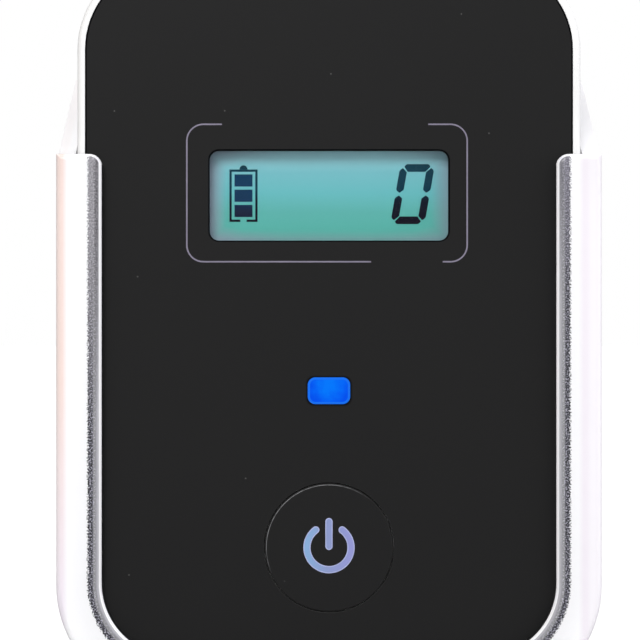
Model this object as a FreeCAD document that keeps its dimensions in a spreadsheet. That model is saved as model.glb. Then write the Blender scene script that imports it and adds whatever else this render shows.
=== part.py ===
"""Carbon monoxide monitor that slides into a clear wall holder.

Millimetres. +Z is up, the display faces -Y, and the origin lies under the middle of the holder.
The driving dimensions are the cells of the sheet Sizes. Places that follow from several of them
are properties of the variable set Places. Every sketch, feature and primitive is bound to these.
"""
import FreeCAD, Part
import math
import os
from types import SimpleNamespace

import Sketcher
from FreeCAD import Vector

SIZES = [
    # the white case
    ("case_width", 64.0, "width over the sides"),
    ("case_height", 92.0, "height"),
    ("case_corner", 12.0, "corner radius seen from the front"),
    ("case_wall", 2.0, "side wall"),
    ("front_wall", 1.2, "wall behind the front panel"),
    ("rear_wall", 2.4, "back wall, which carries the battery door channel"),
    ("front_half", 13.0, "depth of the front shell"),
    ("front_round", 0.7, "round on the front rim"),
    ("rear_round", 1.5, "round on the back rim"),
    ("tongue_width", 0.9, "locating tongue of the front shell"),
    ("tongue_height", 1.2, "reach of that tongue into the rear shell"),
    ("tongue_gap", 0.1, "clearance round the tongue"),
    # the clear holder
    ("holder_wall", 2.15, "side wall"),
    ("holder_floor", 2.2, "floor"),
    ("holder_back", 2.0, "back plate"),
    ("holder_top", 81.0, "top of the back plate"),
    ("holder_round", 1.2, "round on the back edges"),
    ("lip_thick", 1.6, "front lips"),
    ("lip_overlap", 3.3, "side lips over the case"),
    ("lip_rise", 3.1, "bottom lip over the case"),
    ("lip_top", 69.1, "top of the side lips"),
    ("lip_corner", 1.6, "round on the inner top corner of a lip"),
    ("lip_round", 0.75, "round along the front edges"),
    ("ramp_front", 3.4, "level part of the side wall top, at the front"),
    ("ramp_back", 4.6, "level part of the side wall top, at the back"),
    ("ramp_round", 6.0, "rounds at both ends of the ramp"),
    ("side_gap", 0.35, "case to holder wall"),
    ("seat_gap", 0.3, "case to holder floor"),
    ("face_gap", 0.4, "front panel to lips"),
    ("back_gap", 0.4, "case to back plate"),
    ("wall_hole", 1.75, "radius of the wall screw holes"),
    ("wall_hole_spacing", 40.0, "between the wall screw holes"),
    ("wall_hole_height", 28.0, "height of the lower wall screw hole"),
    ("sink_radius", 3.3, "countersink radius at the face"),
    ("sink_depth", 1.4, "countersink depth"),
    ("slot_width", 3.0, "air slots of the back plate"),
    ("slot_round", 1.4, "their corner radius"),
    ("slot_length", 34.0, "their length"),
    ("slot_spacing", 7.0, "between them"),
    ("slot_count", 3, "how many"),
    ("slot_height", 44.5, "height of the middle slot"),
    # the black front panel
    ("panel_margin", 1.0, "case rim left round the panel"),
    ("panel_thick", 1.0, "panel"),
    ("panel_edge", 0.2, "bevel on the panel's front edges"),
    ("panel_gap", 0.05, "panel to its recess"),
    ("tape_thick", 0.15, "adhesive behind the panel"),
    ("tape_inset", 0.8, "adhesive edge in from the panel edge"),
    # the display
    ("display_drop", 30.6, "display centre below the case top"),
    ("view_width", 30.35, "opening in the panel"),
    ("view_height", 11.4, "opening in the panel"),
    ("view_corner", 1.2, "corner radius of that opening"),
    ("pane_rim", 1.0, "pane wider than the opening, each side"),
    ("pane_thick", 0.8, "clear pane"),
    ("pane_gap", 0.1, "clearance round the pane"),
    ("glass_width", 36.6, "liquid crystal cell"),
    ("glass_height", 17.0, "liquid crystal cell"),
    ("glass_thick", 2.0, "liquid crystal cell"),
    ("carrier_wall", 1.6, "frame that carries the cell"),
    ("carrier_gap", 0.15, "clearance round the cell in its frame"),
    ("guide_end", 2.55, "light guide in from the ends of the cell"),
    ("guide_gap", 0.5, "light guide to the contact strips"),
    ("strip_height", 1.6, "zebra contact strips"),
    ("strip_end", 1.3, "strip's ends in from the ends of the cell"),
    ("strip_inset", 0.2, "strip in from the edge of the cell"),
    ("diode_length", 1.5, "backlight diodes, along the width"),
    ("diode_height", 3.0, "backlight diodes, along the height"),
    ("diode_gap", 0.2, "light guide to diode"),
    # the round power key
    ("power_height", 16.7, "key centre above the case base"),
    ("power_radius", 8.15, "key cap"),
    ("power_gap", 0.12, "clearance round the cap"),
    ("power_flange", 0.9, "flange wider than the cap, each side"),
    ("flange_thick", 0.8, "flange behind the wall"),
    ("flange_gap", 0.2, "front wall to flange"),
    ("key_edge", 0.15, "bevel on the front edge of a key"),
    ("ring_gap", 0.2, "flange to its guide ring"),
    ("ring_wall", 0.9, "guide ring"),
    ("ring_depth", 1.6, "reach of the guide ring"),
    ("power_switch_width", 6.0, "tact switch"),
    ("switch_corner", 0.4, "corner radius of both tact switches"),
    ("power_stem", 1.75, "radius of its stem"),
    # the small lit key
    ("max_height", 36.6, "key centre above the case base"),
    ("max_width", 5.05, "key cap"),
    ("max_tall", 3.07, "key cap"),
    ("max_corner", 0.8, "corner radius of the cap"),
    ("max_gap", 0.18, "clearance round the cap"),
    ("max_flange", 0.9, "flange wider than the cap, each side"),
    ("max_switch_width", 4.5, "tact switch"),
    ("max_stem", 1.2, "radius of its stem"),
    ("max_diode_width", 1.6, "blue diodes beside the switch"),
    ("max_diode_thick", 0.8, "blue diodes"),
    ("max_diode_gap", 0.5, "switch to diode"),
    # both switches
    ("switch_height", 3.1, "switch above the board"),
    ("stem_depth", 1.1, "stem inside the switch at rest"),
    ("stem_gap", 0.05, "clearance round a stem"),
    ("key_travel", 0.5, "press of a key"),
    ("stem_spare", 0.4, "room left under a pressed stem"),
    # the circuit board
    ("board_standoff", 4.95, "front wall to board"),
    ("board_thick", 1.6, "board"),
    ("board_side_gap", 1.5, "board to the side walls"),
    ("board_clear", 1.2, "board to the case floor and ceiling"),
    ("board_corner", 1.5, "board corner radius"),
    ("board_notch", 0.7, "board to the case screw posts"),
    ("board_post", 2.25, "radius of the board posts"),
    ("low_post_side", 6.0, "lower board posts in from the board's sides"),
    ("low_post_drop", 48.5, "lower board posts below the case top"),
    ("high_post_side", 11.5, "upper board posts in from the board's sides"),
    ("high_post_drop", 12.0, "upper board posts below the case top"),
    ("board_screw", 0.95, "shank radius of the board screws"),
    ("board_screw_length", 5.0, "under their heads"),
    ("board_screw_head", 1.8, "radius of their heads"),
    ("board_head_thick", 1.2, "their heads"),
    ("screw_gap", 0.05, "clearance round a screw in its post"),
    ("screw_pass", 0.2, "clearance round a screw that passes through"),
    ("pilot_spare", 0.4, "pilot hole past the end of its screw"),
    ("head_bevel", 0.4, "bevel round the top of a screw head"),
    ("cross_share", 0.62, "cross recess: its reach as a share of the head's radius"),
    ("cross_slot", 0.6, "cross recess: width of its arms"),
    ("cross_depth", 0.7, "cross recess: how deep it goes"),
    # the case screws
    ("post_side", 7.5, "case screws in from the sides of the case"),
    ("post_inset", 8.5, "case screws from the base and the top of the case"),
    ("post_radius", 3.0, "screw posts"),
    ("case_screw", 1.2, "shank radius"),
    ("case_screw_length", 13.0, "under the head"),
    ("case_screw_head", 2.2, "head radius"),
    ("case_head_thick", 1.6, "head"),
    ("head_gap", 0.3, "clearance round a head in its counterbore"),
    ("head_depth", 6.0, "counterbore from the back"),
    # the batteries and their bay
    ("cell_radius", 5.25, "battery cell"),
    ("cell_length", 43.7, "battery cell without its nub"),
    ("nub_radius", 1.9, "nub of a cell"),
    ("nub_length", 0.8, "nub of a cell"),
    ("cell_gap", 0.3, "clearance round a cell"),
    ("spring_length", 3.4, "contact spring, pressed"),
    ("contact_thick", 0.4, "contact plates"),
    ("bay_wall", 1.2, "bay walls"),
    ("bay_headroom", 0.9, "bay roof to the case ceiling"),
    ("bay_floor_gap", 0.2, "bay back to a cell"),
    ("bay_board_gap", 2.3, "board to the bay"),
    ("wire_radius", 0.35, "contact spring wire"),
    ("wire_end_gap", 0.05, "spring end to its seat"),
    ("spring_radius", 2.9, "contact spring"),
    ("spring_turns", 2.5, "turns of a contact spring"),
    ("contact_inset", 0.8, "contact plates smaller than a cell, each side"),
    # the battery door
    ("door_lap", 3.05, "door wider than the bay, each side"),
    ("door_gap", 0.2, "clearance round the door"),
    ("door_thick", 1.6, "door"),
    ("door_tongue", 1.2, "door tongues, each side"),
    ("door_tongue_thick", 0.8, "door tongues"),
    ("door_foot", 2.8, "door below the bay"),
    ("door_round_spare", 0.05, "door thicker than the round on its top edge"),
    ("grip_width", 13.0, "grip grooves"),
    ("grip_groove", 0.9, "grip grooves"),
    ("grip_depth", 0.4, "grip grooves"),
    ("grip_spacing", 2.0, "between the grip grooves"),
    ("grip_count", 5, "grip grooves"),
    ("grip_height", 3.5, "first groove above the door's foot"),
    # gas sensor and sounder
    ("sensor_side", 13.0, "sensor and sounder from the middle"),
    ("sensor_drop", 8.0, "sensor to the floor of the battery bay"),
    ("sensor_radius", 8.0, "gas sensor"),
    ("sensor_seal", 1.6, "foam ring between its cap and the rear shell"),
    ("sensor_cap", 6.6, "radius of its cap"),
    ("sensor_step", 2.2, "its cap"),
    ("sensor_hole", 1.0, "radius of its gas inlet"),
    ("pin_radius", 0.5, "sensor pins"),
    ("pin_circle", 5.0, "sensor pins from its middle"),
    ("pin_reach", 0.6, "pins past the board"),
    ("sounder_radius", 7.0, "sounder"),
    ("sounder_seal", 3.2, "foam ring between the sounder and the rear shell"),
    ("sounder_hole", 1.6, "radius of its sound hole"),
    ("sounder_mouth", 2.0, "depth of its sound hole"),
    ("gasket_width", 1.4, "foam rings"),
    ("vent_slot", 1.4, "gas vents of the rear shell"),
    ("vent_round", 0.6, "corner radius of the gas vents"),
    ("vent_length", 9.0, "gas vents"),
    ("vent_spacing", 2.6, "between the gas vents"),
    ("vent_count", 5, "gas vents"),
    ("sound_hole", 0.9, "radius of the sound vents"),
    ("sound_circle", 3.4, "ring of sound vents"),
    ("sound_count", 6, "sound vents on that ring"),
    # parts on the board
    ("chip_width", 10.0, "controller"),
    ("chip_thick", 1.4, "controller"),
    ("chip_drop", 34.0, "controller below the case top"),
    ("chip_edge", 8.0, "controller and crystal in from the board's sides"),
    ("lead_count", 8, "controller leads, each side"),
    ("lead_width", 0.4, "controller leads"),
    ("lead_spacing", 1.0, "controller leads"),
    ("lead_reach", 0.9, "controller leads"),
    ("lead_thick", 0.3, "controller leads"),
    ("crystal_radius", 1.0, "crystal can"),
    ("crystal_length", 6.0, "crystal can"),
    ("small_length", 2.0, "chip resistors and capacitors"),
    ("small_width", 1.2, "chip resistors and capacitors"),
    ("small_thick", 0.7, "chip resistors and capacitors"),
    ("small_spacing", 3.2, "between them"),
    ("small_rows", 4, "rows of them"),
    # drawing
    ("overcut", 0.5, "how far a cut runs past the face it opens"),
]

DOC = FreeCAD.newDocument("GasMonitor")
SHEET = DOC.addObject("Spreadsheet::Sheet", "Sizes")
PLACES = DOC.addObject("App::VarSet", "Places")
S = SimpleNamespace()


class Size:
    """A number and the expression that ties it to the sheet."""

    def __init__(self, number, text):
        self.number = number
        self.text = text

    def __add__(self, other):
        other = size(other)
        return Size(self.number + other.number, f"({self.text} + {other.text})")

    def __radd__(self, other):
        return size(other) + self

    def __sub__(self, other):
        other = size(other)
        return Size(self.number - other.number, f"({self.text} - {other.text})")

    def __rsub__(self, other):
        return size(other) - self

    def __mul__(self, other):
        other = size(other)
        return Size(self.number * other.number, f"({self.text} * {other.text})")

    def __rmul__(self, other):
        return size(other) * self

    def __truediv__(self, other):
        other = size(other)
        return Size(self.number / other.number, f"({self.text} / {other.text})")

    def __neg__(self):
        return Size(-self.number, f"(-{self.text})")


def size(value):
    """A plain number as a Size."""
    if isinstance(value, Size):
        return value
    return Size(float(value), str(float(value)))


def smaller(first, second):
    """The smaller of two sizes."""
    return Size(min(first.number, second.number), f"min({first.text}; {second.text})")


def bind(thing, name, value):
    """Tie one property of a document object to the sheet."""
    thing.setExpression(name, size(value).text)


def place(name, value):
    """Name a place that follows from the sizes."""
    PLACES.addProperty("App::PropertyFloat", name, "Places")
    bind(PLACES, name, value)
    setattr(S, name, Size(value.number, "Places." + name))


def fill_sheet():
    """Write the driving dimensions into the sheet."""
    for row, (name, number, note) in enumerate(SIZES, 1):
        SHEET.set(f"A{row}", name)
        SHEET.set(f"B{row}", str(number))
        SHEET.set(f"C{row}", note)
        SHEET.setAlias(f"B{row}", name)
        setattr(S, name, Size(number, "Sizes." + name))


def name_places():
    """Work out the places that several pieces share, from front to back and from the base up."""
    place("panel_stack", S.panel_thick + S.tape_thick + S.front_wall)
    place("board_stack", S.panel_stack + S.board_standoff + S.board_thick)
    place("bay_stack", S.board_stack + S.bay_board_gap + S.bay_wall + S.bay_floor_gap)
    place("case_depth", S.bay_stack + 2 * S.cell_radius + S.cell_gap + S.door_thick)
    depth = S.lip_thick + S.face_gap + S.case_depth + S.back_gap + S.holder_back
    place("holder_front", -depth / 2)
    place("holder_rear", depth / 2)
    place("holder_side", S.case_width / 2 + S.side_gap + S.holder_wall)
    place("plate_front", S.holder_rear - S.holder_back)
    place("case_front", S.holder_front + S.lip_thick + S.face_gap)
    place("case_rear", S.case_front + S.case_depth)
    place("parting", S.case_front + S.front_half)
    place("panel_back", S.case_front + S.panel_thick)
    place("recess_floor", S.panel_back + S.tape_thick)
    place("wall_back", S.case_front + S.panel_stack)
    place("glass_back", S.wall_back + S.glass_thick)
    place("flange_front", S.wall_back + S.flange_gap)
    place("flange_back", S.flange_front + S.flange_thick)
    place("board_back", S.case_front + S.board_stack)
    place("board_front", S.board_back - S.board_thick)
    place("switch_front", S.board_front - S.switch_height)
    place("stem_end", S.switch_front + S.stem_depth)
    place("stem_room", S.stem_end + S.key_travel + S.stem_spare)
    place("cell_y", S.case_front + S.bay_stack + S.cell_radius)
    place("bay_front", S.cell_y - S.cell_radius - S.bay_floor_gap)
    place("rear_inner", S.case_rear - S.rear_wall)
    place("post_floor", S.case_rear - S.head_depth)
    place("door_front", S.case_rear - S.door_thick)
    place("door_tongue_back", S.door_front + S.door_tongue_thick)

    place("case_base", S.holder_floor + S.seat_gap)
    place("case_top", S.case_base + S.case_height)
    place("display_z", S.case_top - S.display_drop)
    place("power_z", S.case_base + S.power_height)
    place("max_z", S.case_base + S.max_height)
    place("bay_top", S.case_top - S.case_wall - S.bay_headroom - S.bay_wall)
    stack = S.contact_thick + S.spring_length + S.cell_length + S.nub_length + S.contact_thick
    place("bay_base", S.bay_top - stack)
    place("door_base", S.bay_base - S.door_foot)
    place("sensor_z", S.bay_base - S.bay_wall - S.sensor_drop - S.sensor_radius)

    place("board_side", S.case_width / 2 - S.case_wall - S.board_side_gap)
    place("chip_x", S.board_side - S.chip_edge)
    place("cell_side", S.cell_radius + S.cell_gap / 2)
    place("bay_side", S.cell_side + S.cell_radius + S.cell_gap)
    place("door_side", S.bay_side + S.door_lap)


def new_body(label):
    """A part design body whose label names its file."""
    body = DOC.addObject("PartDesign::Body", label + "_body")
    body.Label = label
    return body


def datum(body, role):
    """One of a body's own origin planes or axes."""
    return next(item for item in body.Origin.OriginFeatures if item.Role == role)


def corner_arc(before, corner, after, radius):
    """Start, centre and end of the round at a corner, and whether it turns to the left."""
    back = (before - corner).normalize()
    ahead = (after - corner).normalize()
    half = back.getAngle(ahead) / 2
    run = radius / math.tan(half)
    centre = corner + (back + ahead).normalize() * (radius / math.sin(half))
    left = (corner - before).cross(after - corner).z > 0
    return corner + back * run, centre, corner + ahead * run, left


def draw_ring(drawing, corners, rules):
    """Draw a closed ring of straight sides; a corner with a third value is rounded by it."""
    count = len(corners)
    spots = [Vector(size(c[0]).number, size(c[1]).number, 0) for c in corners]
    rounds = []
    for i, corner in enumerate(corners):
        if len(corner) == 3:
            radius = size(corner[2]).number
            rounds.append(corner_arc(spots[i - 1], spots[i], spots[(i + 1) % count], radius))
        else:
            rounds.append(None)
    sides = []
    for i in range(count):
        following = (i + 1) % count
        start = rounds[i][2] if rounds[i] else spots[i]
        end = rounds[following][0] if rounds[following] else spots[following]
        sides.append(drawing.addGeometry(Part.LineSegment(start, end)))
    for i, corner in enumerate(corners):
        arriving, leaving = sides[i - 1], sides[i]
        if rounds[i] is None:
            rules.append(("Coincident", arriving, 2, leaving, 1))
            rules.append(("DistanceX", -1, 1, leaving, 1, size(corner[0])))
            rules.append(("DistanceY", -1, 1, leaving, 1, size(corner[1])))
            continue
        start, centre, end, left = rounds[i]
        first, last = (start, end) if left else (end, start)
        angles = [math.atan2(p.y - centre.y, p.x - centre.x) for p in (first, last)]
        if angles[1] < angles[0]:
            angles[1] += 2 * math.pi
        circle = Part.Circle(centre, Vector(0, 0, 1), size(corner[2]).number)
        arc = drawing.addGeometry(Part.ArcOfCircle(circle, angles[0], angles[1]))
        vertex = drawing.addGeometry(Part.Point(spots[i]), True)
        rules.append(("Tangent", arriving, 2, arc, 1 if left else 2))
        rules.append(("Tangent", leaving, 1, arc, 2 if left else 1))
        rules.append(("PointOnObject", vertex, 1, arriving))
        rules.append(("PointOnObject", vertex, 1, leaving))
        rules.append(("DistanceX", -1, 1, vertex, 1, size(corner[0])))
        rules.append(("DistanceY", -1, 1, vertex, 1, size(corner[1])))
        rules.append(("Radius", arc, size(corner[2])))


def draw_circle(drawing, across, up, radius, rules):
    """Draw a circle."""
    centre = Vector(size(across).number, size(up).number, 0)
    circle = drawing.addGeometry(Part.Circle(centre, Vector(0, 0, 1), size(radius).number))
    rules.append(("Radius", circle, size(radius)))
    rules.append(("DistanceX", -1, 1, circle, 3, size(across)))
    rules.append(("DistanceY", -1, 1, circle, 3, size(up)))


def sketch(body, name, plane, at, shapes):
    """Sketch on a body's own plane. A shape is a circle (x, y, radius) or a list of corners."""
    drawing = body.newObject("Sketcher::SketchObject", name)
    drawing.AttachmentSupport = (datum(body, plane), [""])
    drawing.MapMode = "FlatFace"
    for axis, offset in zip("xyz", at):
        bind(drawing, f".AttachmentOffset.Base.{axis}", offset)
    rules = []
    for shape in shapes:
        if isinstance(shape, list):
            draw_ring(drawing, shape, rules)
        else:
            draw_circle(drawing, *shape, rules)
    numbers = [[v.number if isinstance(v, Size) else v for v in rule] for rule in rules]
    drawing.addConstraint([Sketcher.Constraint(*values) for values in numbers])
    for index, rule in enumerate(rules):
        if isinstance(rule[-1], Size):
            bind(drawing, f"Constraints[{index}]", rule[-1])
    return drawing


def layer(body, name, start, end, shapes, cut=False, middle=(0, 0)):
    """Pad or pocket shapes seen from the front (x, z) from y = start to y = end."""
    drawing = sketch(body, name + "_sketch", "XZ_Plane", (middle[0], middle[1], -start), shapes)
    feature = body.newObject("PartDesign::Pocket" if cut else "PartDesign::Pad", name)
    feature.Profile = drawing
    feature.Reversed = not cut
    bind(feature, "Length", end - start)
    return feature


def across(body, name, start, end, shapes, cut=False):
    """Pad or pocket shapes seen from the side (y, z) from x = start to x = end."""
    drawing = sketch(body, name + "_sketch", "YZ_Plane", (0, 0, start), shapes)
    feature = body.newObject("PartDesign::Pocket" if cut else "PartDesign::Pad", name)
    feature.Profile = drawing
    feature.Reversed = cut
    bind(feature, "Length", end - start)
    return feature


def turn(body, name, side, height, corners, cut=False):
    """Revolve a half section (radius, y) about the line along Y at x = side, z = height."""
    drawing = sketch(body, name + "_sketch", "XY_Plane", (side, 0, height), [corners])
    feature = body.newObject("PartDesign::Groove" if cut else "PartDesign::Revolution", name)
    feature.Profile = drawing
    feature.ReferenceAxis = (drawing, ["V_Axis"])
    feature.Angle = 360
    return feature


def soften(body, name, radius, picked):
    """Round the edges of the body so far that the test picks."""
    DOC.recompute()
    base = body.Tip
    edges = [f"Edge{i}" for i, edge in enumerate(base.Shape.Edges, 1) if picked(edge)]
    if not edges:
        raise SystemExit(f"no edge to round for {name}")
    feature = body.newObject("PartDesign::Fillet", name)
    feature.Base = (base, edges)
    bind(feature, "Radius", radius)
    DOC.recompute()
    return feature


def bevel(body, name, width, picked):
    """Bevel the edges of the body so far that the test picks."""
    DOC.recompute()
    base = body.Tip
    edges = [f"Edge{i}" for i, edge in enumerate(base.Shape.Edges, 1) if picked(edge)]
    if not edges:
        raise SystemExit(f"no edge to bevel for {name}")
    feature = body.newObject("PartDesign::Chamfer", name)
    feature.Base = (base, edges)
    bind(feature, "Size", width)
    DOC.recompute()
    return feature


def repeat(body, name, features, axis, spacing, count):
    """Repeat features in a line."""
    pattern = body.newObject("PartDesign::LinearPattern", name)
    pattern.Originals = features
    pattern.Direction = (datum(body, axis), [""])
    bind(pattern, "Occurrences", count)
    bind(pattern, "Length", spacing * (count - 1))
    body.Tip = pattern
    return pattern


def block(label, across_x, along_y, up_z):
    """A box between three pairs of places."""
    solid = DOC.addObject("Part::Box", label)
    spans = (("Length", "x", across_x), ("Width", "y", along_y), ("Height", "z", up_z))
    for name, axis, (start, end) in spans:
        bind(solid, name, size(end) - start)
        bind(solid, f".Placement.Base.{axis}", start)
    return solid


def rod(label, radius, side, height, start, end):
    """A cylinder along Y."""
    solid = DOC.addObject("Part::Cylinder", label)
    solid.Placement.Rotation = FreeCAD.Rotation(Vector(1, 0, 0), -90)
    bind(solid, "Radius", radius)
    bind(solid, "Height", size(end) - start)
    bind(solid, ".Placement.Base.x", side)
    bind(solid, ".Placement.Base.y", start)
    bind(solid, ".Placement.Base.z", height)
    return solid


def joined(label, kind, solids):
    """Several solids as one object: Part::MultiFuse where they touch, Part::Compound apart."""
    whole = DOC.addObject(kind, label)
    if kind == "Part::Compound":
        whole.Links = solids
    else:
        whole.Shapes = solids
    return whole


def oblong(side, base, top, corner):
    """A rounded rectangle about x = 0."""
    return [(-side, base, corner), (side, base, corner), (side, top, corner), (-side, top, corner)]


def box_about(width, height, corner=None):
    """A rectangle about the sketch's own middle."""
    x, z = width / 2, height / 2
    corners = [(-x, -z), (x, -z), (x, z), (-x, z)]
    if corner is None:
        return corners
    return [(*spot, corner) for spot in corners]


def case_outline(inset):
    """The case seen from the front, drawn in by an inset."""
    side = S.case_width / 2 - inset
    return oblong(side, S.case_base + inset, S.case_top - inset, S.case_corner - inset)


def around(count, radius, start=0):
    """Places evenly spaced on a circle."""
    angles = [math.radians(start + 360 * step / count) for step in range(count)]
    return [(radius * math.cos(angle), radius * math.sin(angle)) for angle in angles]


def post_spots():
    """The case screws: x and z."""
    side = S.case_width / 2 - S.post_side
    heights = (S.case_base + S.post_inset, S.case_top - S.post_inset)
    return [(x, z) for x in (-side, side) for z in heights]


def board_spots():
    """The board screws: x and z."""
    spots = []
    for inset, drop in ((S.low_post_side, S.low_post_drop), (S.high_post_side, S.high_post_drop)):
        side, height = S.board_side - inset, S.case_top - drop
        spots += [(-side, height), (side, height)]
    return spots


def near(value, goal, slack=0.01):
    """Whether a number is where it should be."""
    return abs(value - size(goal).number) < slack


def lies_at(edge, axis, goal):
    """Whether a whole edge lies in the plane where an axis has that value."""
    low, high = getattr(edge.BoundBox, axis + "Min"), getattr(edge.BoundBox, axis + "Max")
    return near(low, goal) and near(high, goal)


def make_holder():
    """The clear holder: back plate, floor, side walls with ramped tops, and front lips."""
    body = new_body("holder")
    outer = S.case_corner + S.side_gap + S.holder_wall
    top, side = S.holder_top, S.holder_side
    front, rear = S.holder_front, S.holder_rear
    over = top + S.overcut
    shell = [(-side, 0, outer), (side, 0, outer), (side, top), (-side, top)]
    layer(body, "holder_block", front, rear, [shell])
    ramp = [
        (front - S.overcut, S.lip_top),
        (front + S.ramp_front, S.lip_top, S.ramp_round),
        (rear - S.ramp_back, top, S.ramp_round),
        (rear + S.overcut, top),
        (rear + S.overcut, over),
        (front - S.overcut, over),
    ]
    across(body, "holder_ramp", -side - S.overcut, side + S.overcut, [ramp], cut=True)

    hollow = S.case_width / 2 + S.side_gap
    bend = S.case_corner + S.side_gap
    base = S.holder_floor
    room = [(-hollow, base, bend), (hollow, base, bend), (hollow, over), (-hollow, over)]
    layer(body, "holder_room", front + S.lip_thick, S.plate_front, [room], cut=True)
    gap = S.case_width / 2 - S.lip_overlap
    sill = S.case_base + S.lip_rise
    bend = bend - S.lip_rise
    flare = gap + 2 * S.lip_corner
    right = [(gap, sill, bend), (gap, S.lip_top, S.lip_corner), (flare, S.lip_top), (flare, over)]
    window = right + [(-x, *rest) for x, *rest in reversed(right)]
    start, end = front - S.overcut, front + S.lip_thick + S.overcut
    layer(body, "holder_window", start, end, [window], cut=True)
    soften(body, "lip_round", S.lip_round, lambda edge: lies_at(edge, "Y", front))
    soften(body, "holder_back_round", S.holder_round, lambda edge: lies_at(edge, "Y", rear))
    cut_holder_plate(body)
    return body


def cut_holder_plate(body):
    """Countersunk wall screw holes and air slots through the holder's back plate."""
    start, end = S.plate_front - S.overcut, S.holder_rear + S.overcut
    for index in range(2):
        height = S.wall_hole_height + index * S.wall_hole_spacing
        sink = [(0, start), (S.sink_radius, start), (S.sink_radius, S.plate_front),
                (S.wall_hole, S.plate_front + S.sink_depth), (S.wall_hole, end), (0, end)]
        turn(body, f"holder_screw_hole_{index}", 0, height, sink, cut=True)
    low = S.slot_height - S.slot_spacing * (S.slot_count - 1) / 2
    slot = box_about(S.slot_length, S.slot_width, S.slot_round)
    first = layer(body, "holder_slot", start, end, [slot], cut=True, middle=(0, low))
    repeat(body, "holder_slots", [first], "Z_Axis", S.slot_spacing, S.slot_count)


def make_front_shell():
    """The front half of the case: panel recess, display opening, key holes, posts and tongue."""
    body = new_body("front_shell")
    layer(body, "shell_block", S.case_front, S.parting, [case_outline(size(0))])
    soften(body, "shell_front_round", S.front_round, lambda edge: lies_at(edge, "Y", S.case_front))
    layer(body, "shell_room", S.wall_back, S.parting, [case_outline(S.case_wall)], cut=True)
    layer(body, "panel_recess", S.case_front, S.recess_floor, [case_outline(S.panel_margin)], cut=True)
    tongue_inner = S.case_wall
    tongue_outer = S.case_wall - S.tongue_width
    tongue = [case_outline(tongue_outer), case_outline(tongue_inner)]
    layer(body, "shell_tongue", S.parting, S.parting + S.tongue_height, tongue)
    posts = [(x, z, S.post_radius) for x, z in post_spots()]
    layer(body, "screw_posts", S.wall_back, S.parting, posts)
    posts = [(x, z, S.board_post) for x, z in board_spots()]
    layer(body, "board_posts", S.wall_back, S.board_front, posts)
    ring = S.power_radius + S.power_flange + S.ring_gap
    rings = [(0, S.power_z, ring + S.ring_wall), (0, S.power_z, ring)]
    layer(body, "power_guide", S.wall_back, S.wall_back + S.ring_depth, rings)
    reach = 2 * (S.max_flange + S.ring_gap)
    wide, tall = S.max_width + reach, S.max_tall + reach
    walls = 2 * S.ring_wall
    rings = [box_about(wide + walls, tall + walls), box_about(wide, tall)]
    layer(body, "max_guide", S.wall_back, S.wall_back + S.ring_depth, rings, middle=(0, S.max_z))
    rim = 2 * (S.pane_rim + S.pane_gap)
    opening = box_about(S.view_width + rim, S.view_height + rim, S.view_corner + rim / 2)
    start, end = S.recess_floor - S.tape_thick, S.wall_back + S.overcut
    layer(body, "display_opening", start, end, [opening], cut=True, middle=(0, S.display_z))
    layer(body, "power_hole", start, end, [(0, S.power_z, S.power_radius + S.power_gap)], cut=True)
    layer(body, "max_hole", start, end, [max_outline(S.max_gap)], cut=True, middle=(0, S.max_z))
    pilots = [(x, z, S.case_screw + S.screw_gap) for x, z in post_spots()]
    deep = S.post_floor - S.case_screw_length - S.pilot_spare
    layer(body, "screw_pilots", deep, S.parting + S.overcut, pilots, cut=True)
    pilots = [(x, z, S.board_screw + S.screw_gap) for x, z in board_spots()]
    deep = S.board_back - S.board_screw_length - S.pilot_spare
    layer(body, "board_pilots", deep, S.board_front + S.overcut, pilots, cut=True)
    return body


def max_outline(grow):
    """The small key seen from the front, grown by a clearance."""
    return box_about(S.max_width + 2 * grow, S.max_tall + 2 * grow, S.max_corner + grow)


def make_rear_shell():
    """The back half of the case: battery bay, door channel, screw sleeves and vents."""
    body = new_body("rear_shell")
    layer(body, "rear_block", S.parting, S.case_rear, [case_outline(size(0))])
    soften(body, "rear_edge_round", S.rear_round, lambda edge: lies_at(edge, "Y", S.case_rear))
    layer(body, "rear_room", S.parting, S.rear_inner, [case_outline(S.case_wall)], cut=True)
    rebate = case_outline(S.case_wall - S.tongue_width - S.tongue_gap)
    layer(body, "rear_rebate", S.parting, S.parting + S.tongue_height + S.tongue_gap, [rebate], cut=True)
    sleeves = [(x, z, S.post_radius) for x, z in post_spots()]
    layer(body, "screw_sleeves", S.parting, S.rear_inner, sleeves)
    side, base, top = S.bay_side, S.bay_base, S.bay_top
    wall = S.bay_wall
    bay = oblong(side + wall, base - wall, top + wall, wall)
    layer(body, "bay_walls", S.bay_front - wall, S.rear_inner, [bay])
    ledge = S.door_front - S.door_gap
    room = [(-side, base), (side, base), (side, top), (-side, top)]
    layer(body, "bay_room", S.bay_front, ledge, [room], cut=True)
    foot = S.door_base - S.door_gap
    half = S.door_side + S.door_tongue + S.door_gap
    above = S.case_top + S.overcut
    channel = [(-half, foot), (half, foot), (half, above), (-half, above)]
    lip_front = S.door_tongue_back + S.door_gap
    layer(body, "door_channel", ledge, lip_front, [channel], cut=True)
    half = S.door_side + S.door_gap
    doorway = [(-half, foot), (half, foot), (half, above), (-half, above)]
    layer(body, "doorway", ledge, S.case_rear + S.overcut, [doorway], cut=True)
    bores = [(x, z, S.case_screw + S.screw_pass) for x, z in post_spots()]
    layer(body, "screw_bores", S.parting - S.overcut, S.case_rear, bores, cut=True)
    heads = [(x, z, S.case_screw_head + S.head_gap) for x, z in post_spots()]
    layer(body, "head_bores", S.post_floor, S.case_rear + S.overcut, heads, cut=True)
    cut_vents(body)
    return body


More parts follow.
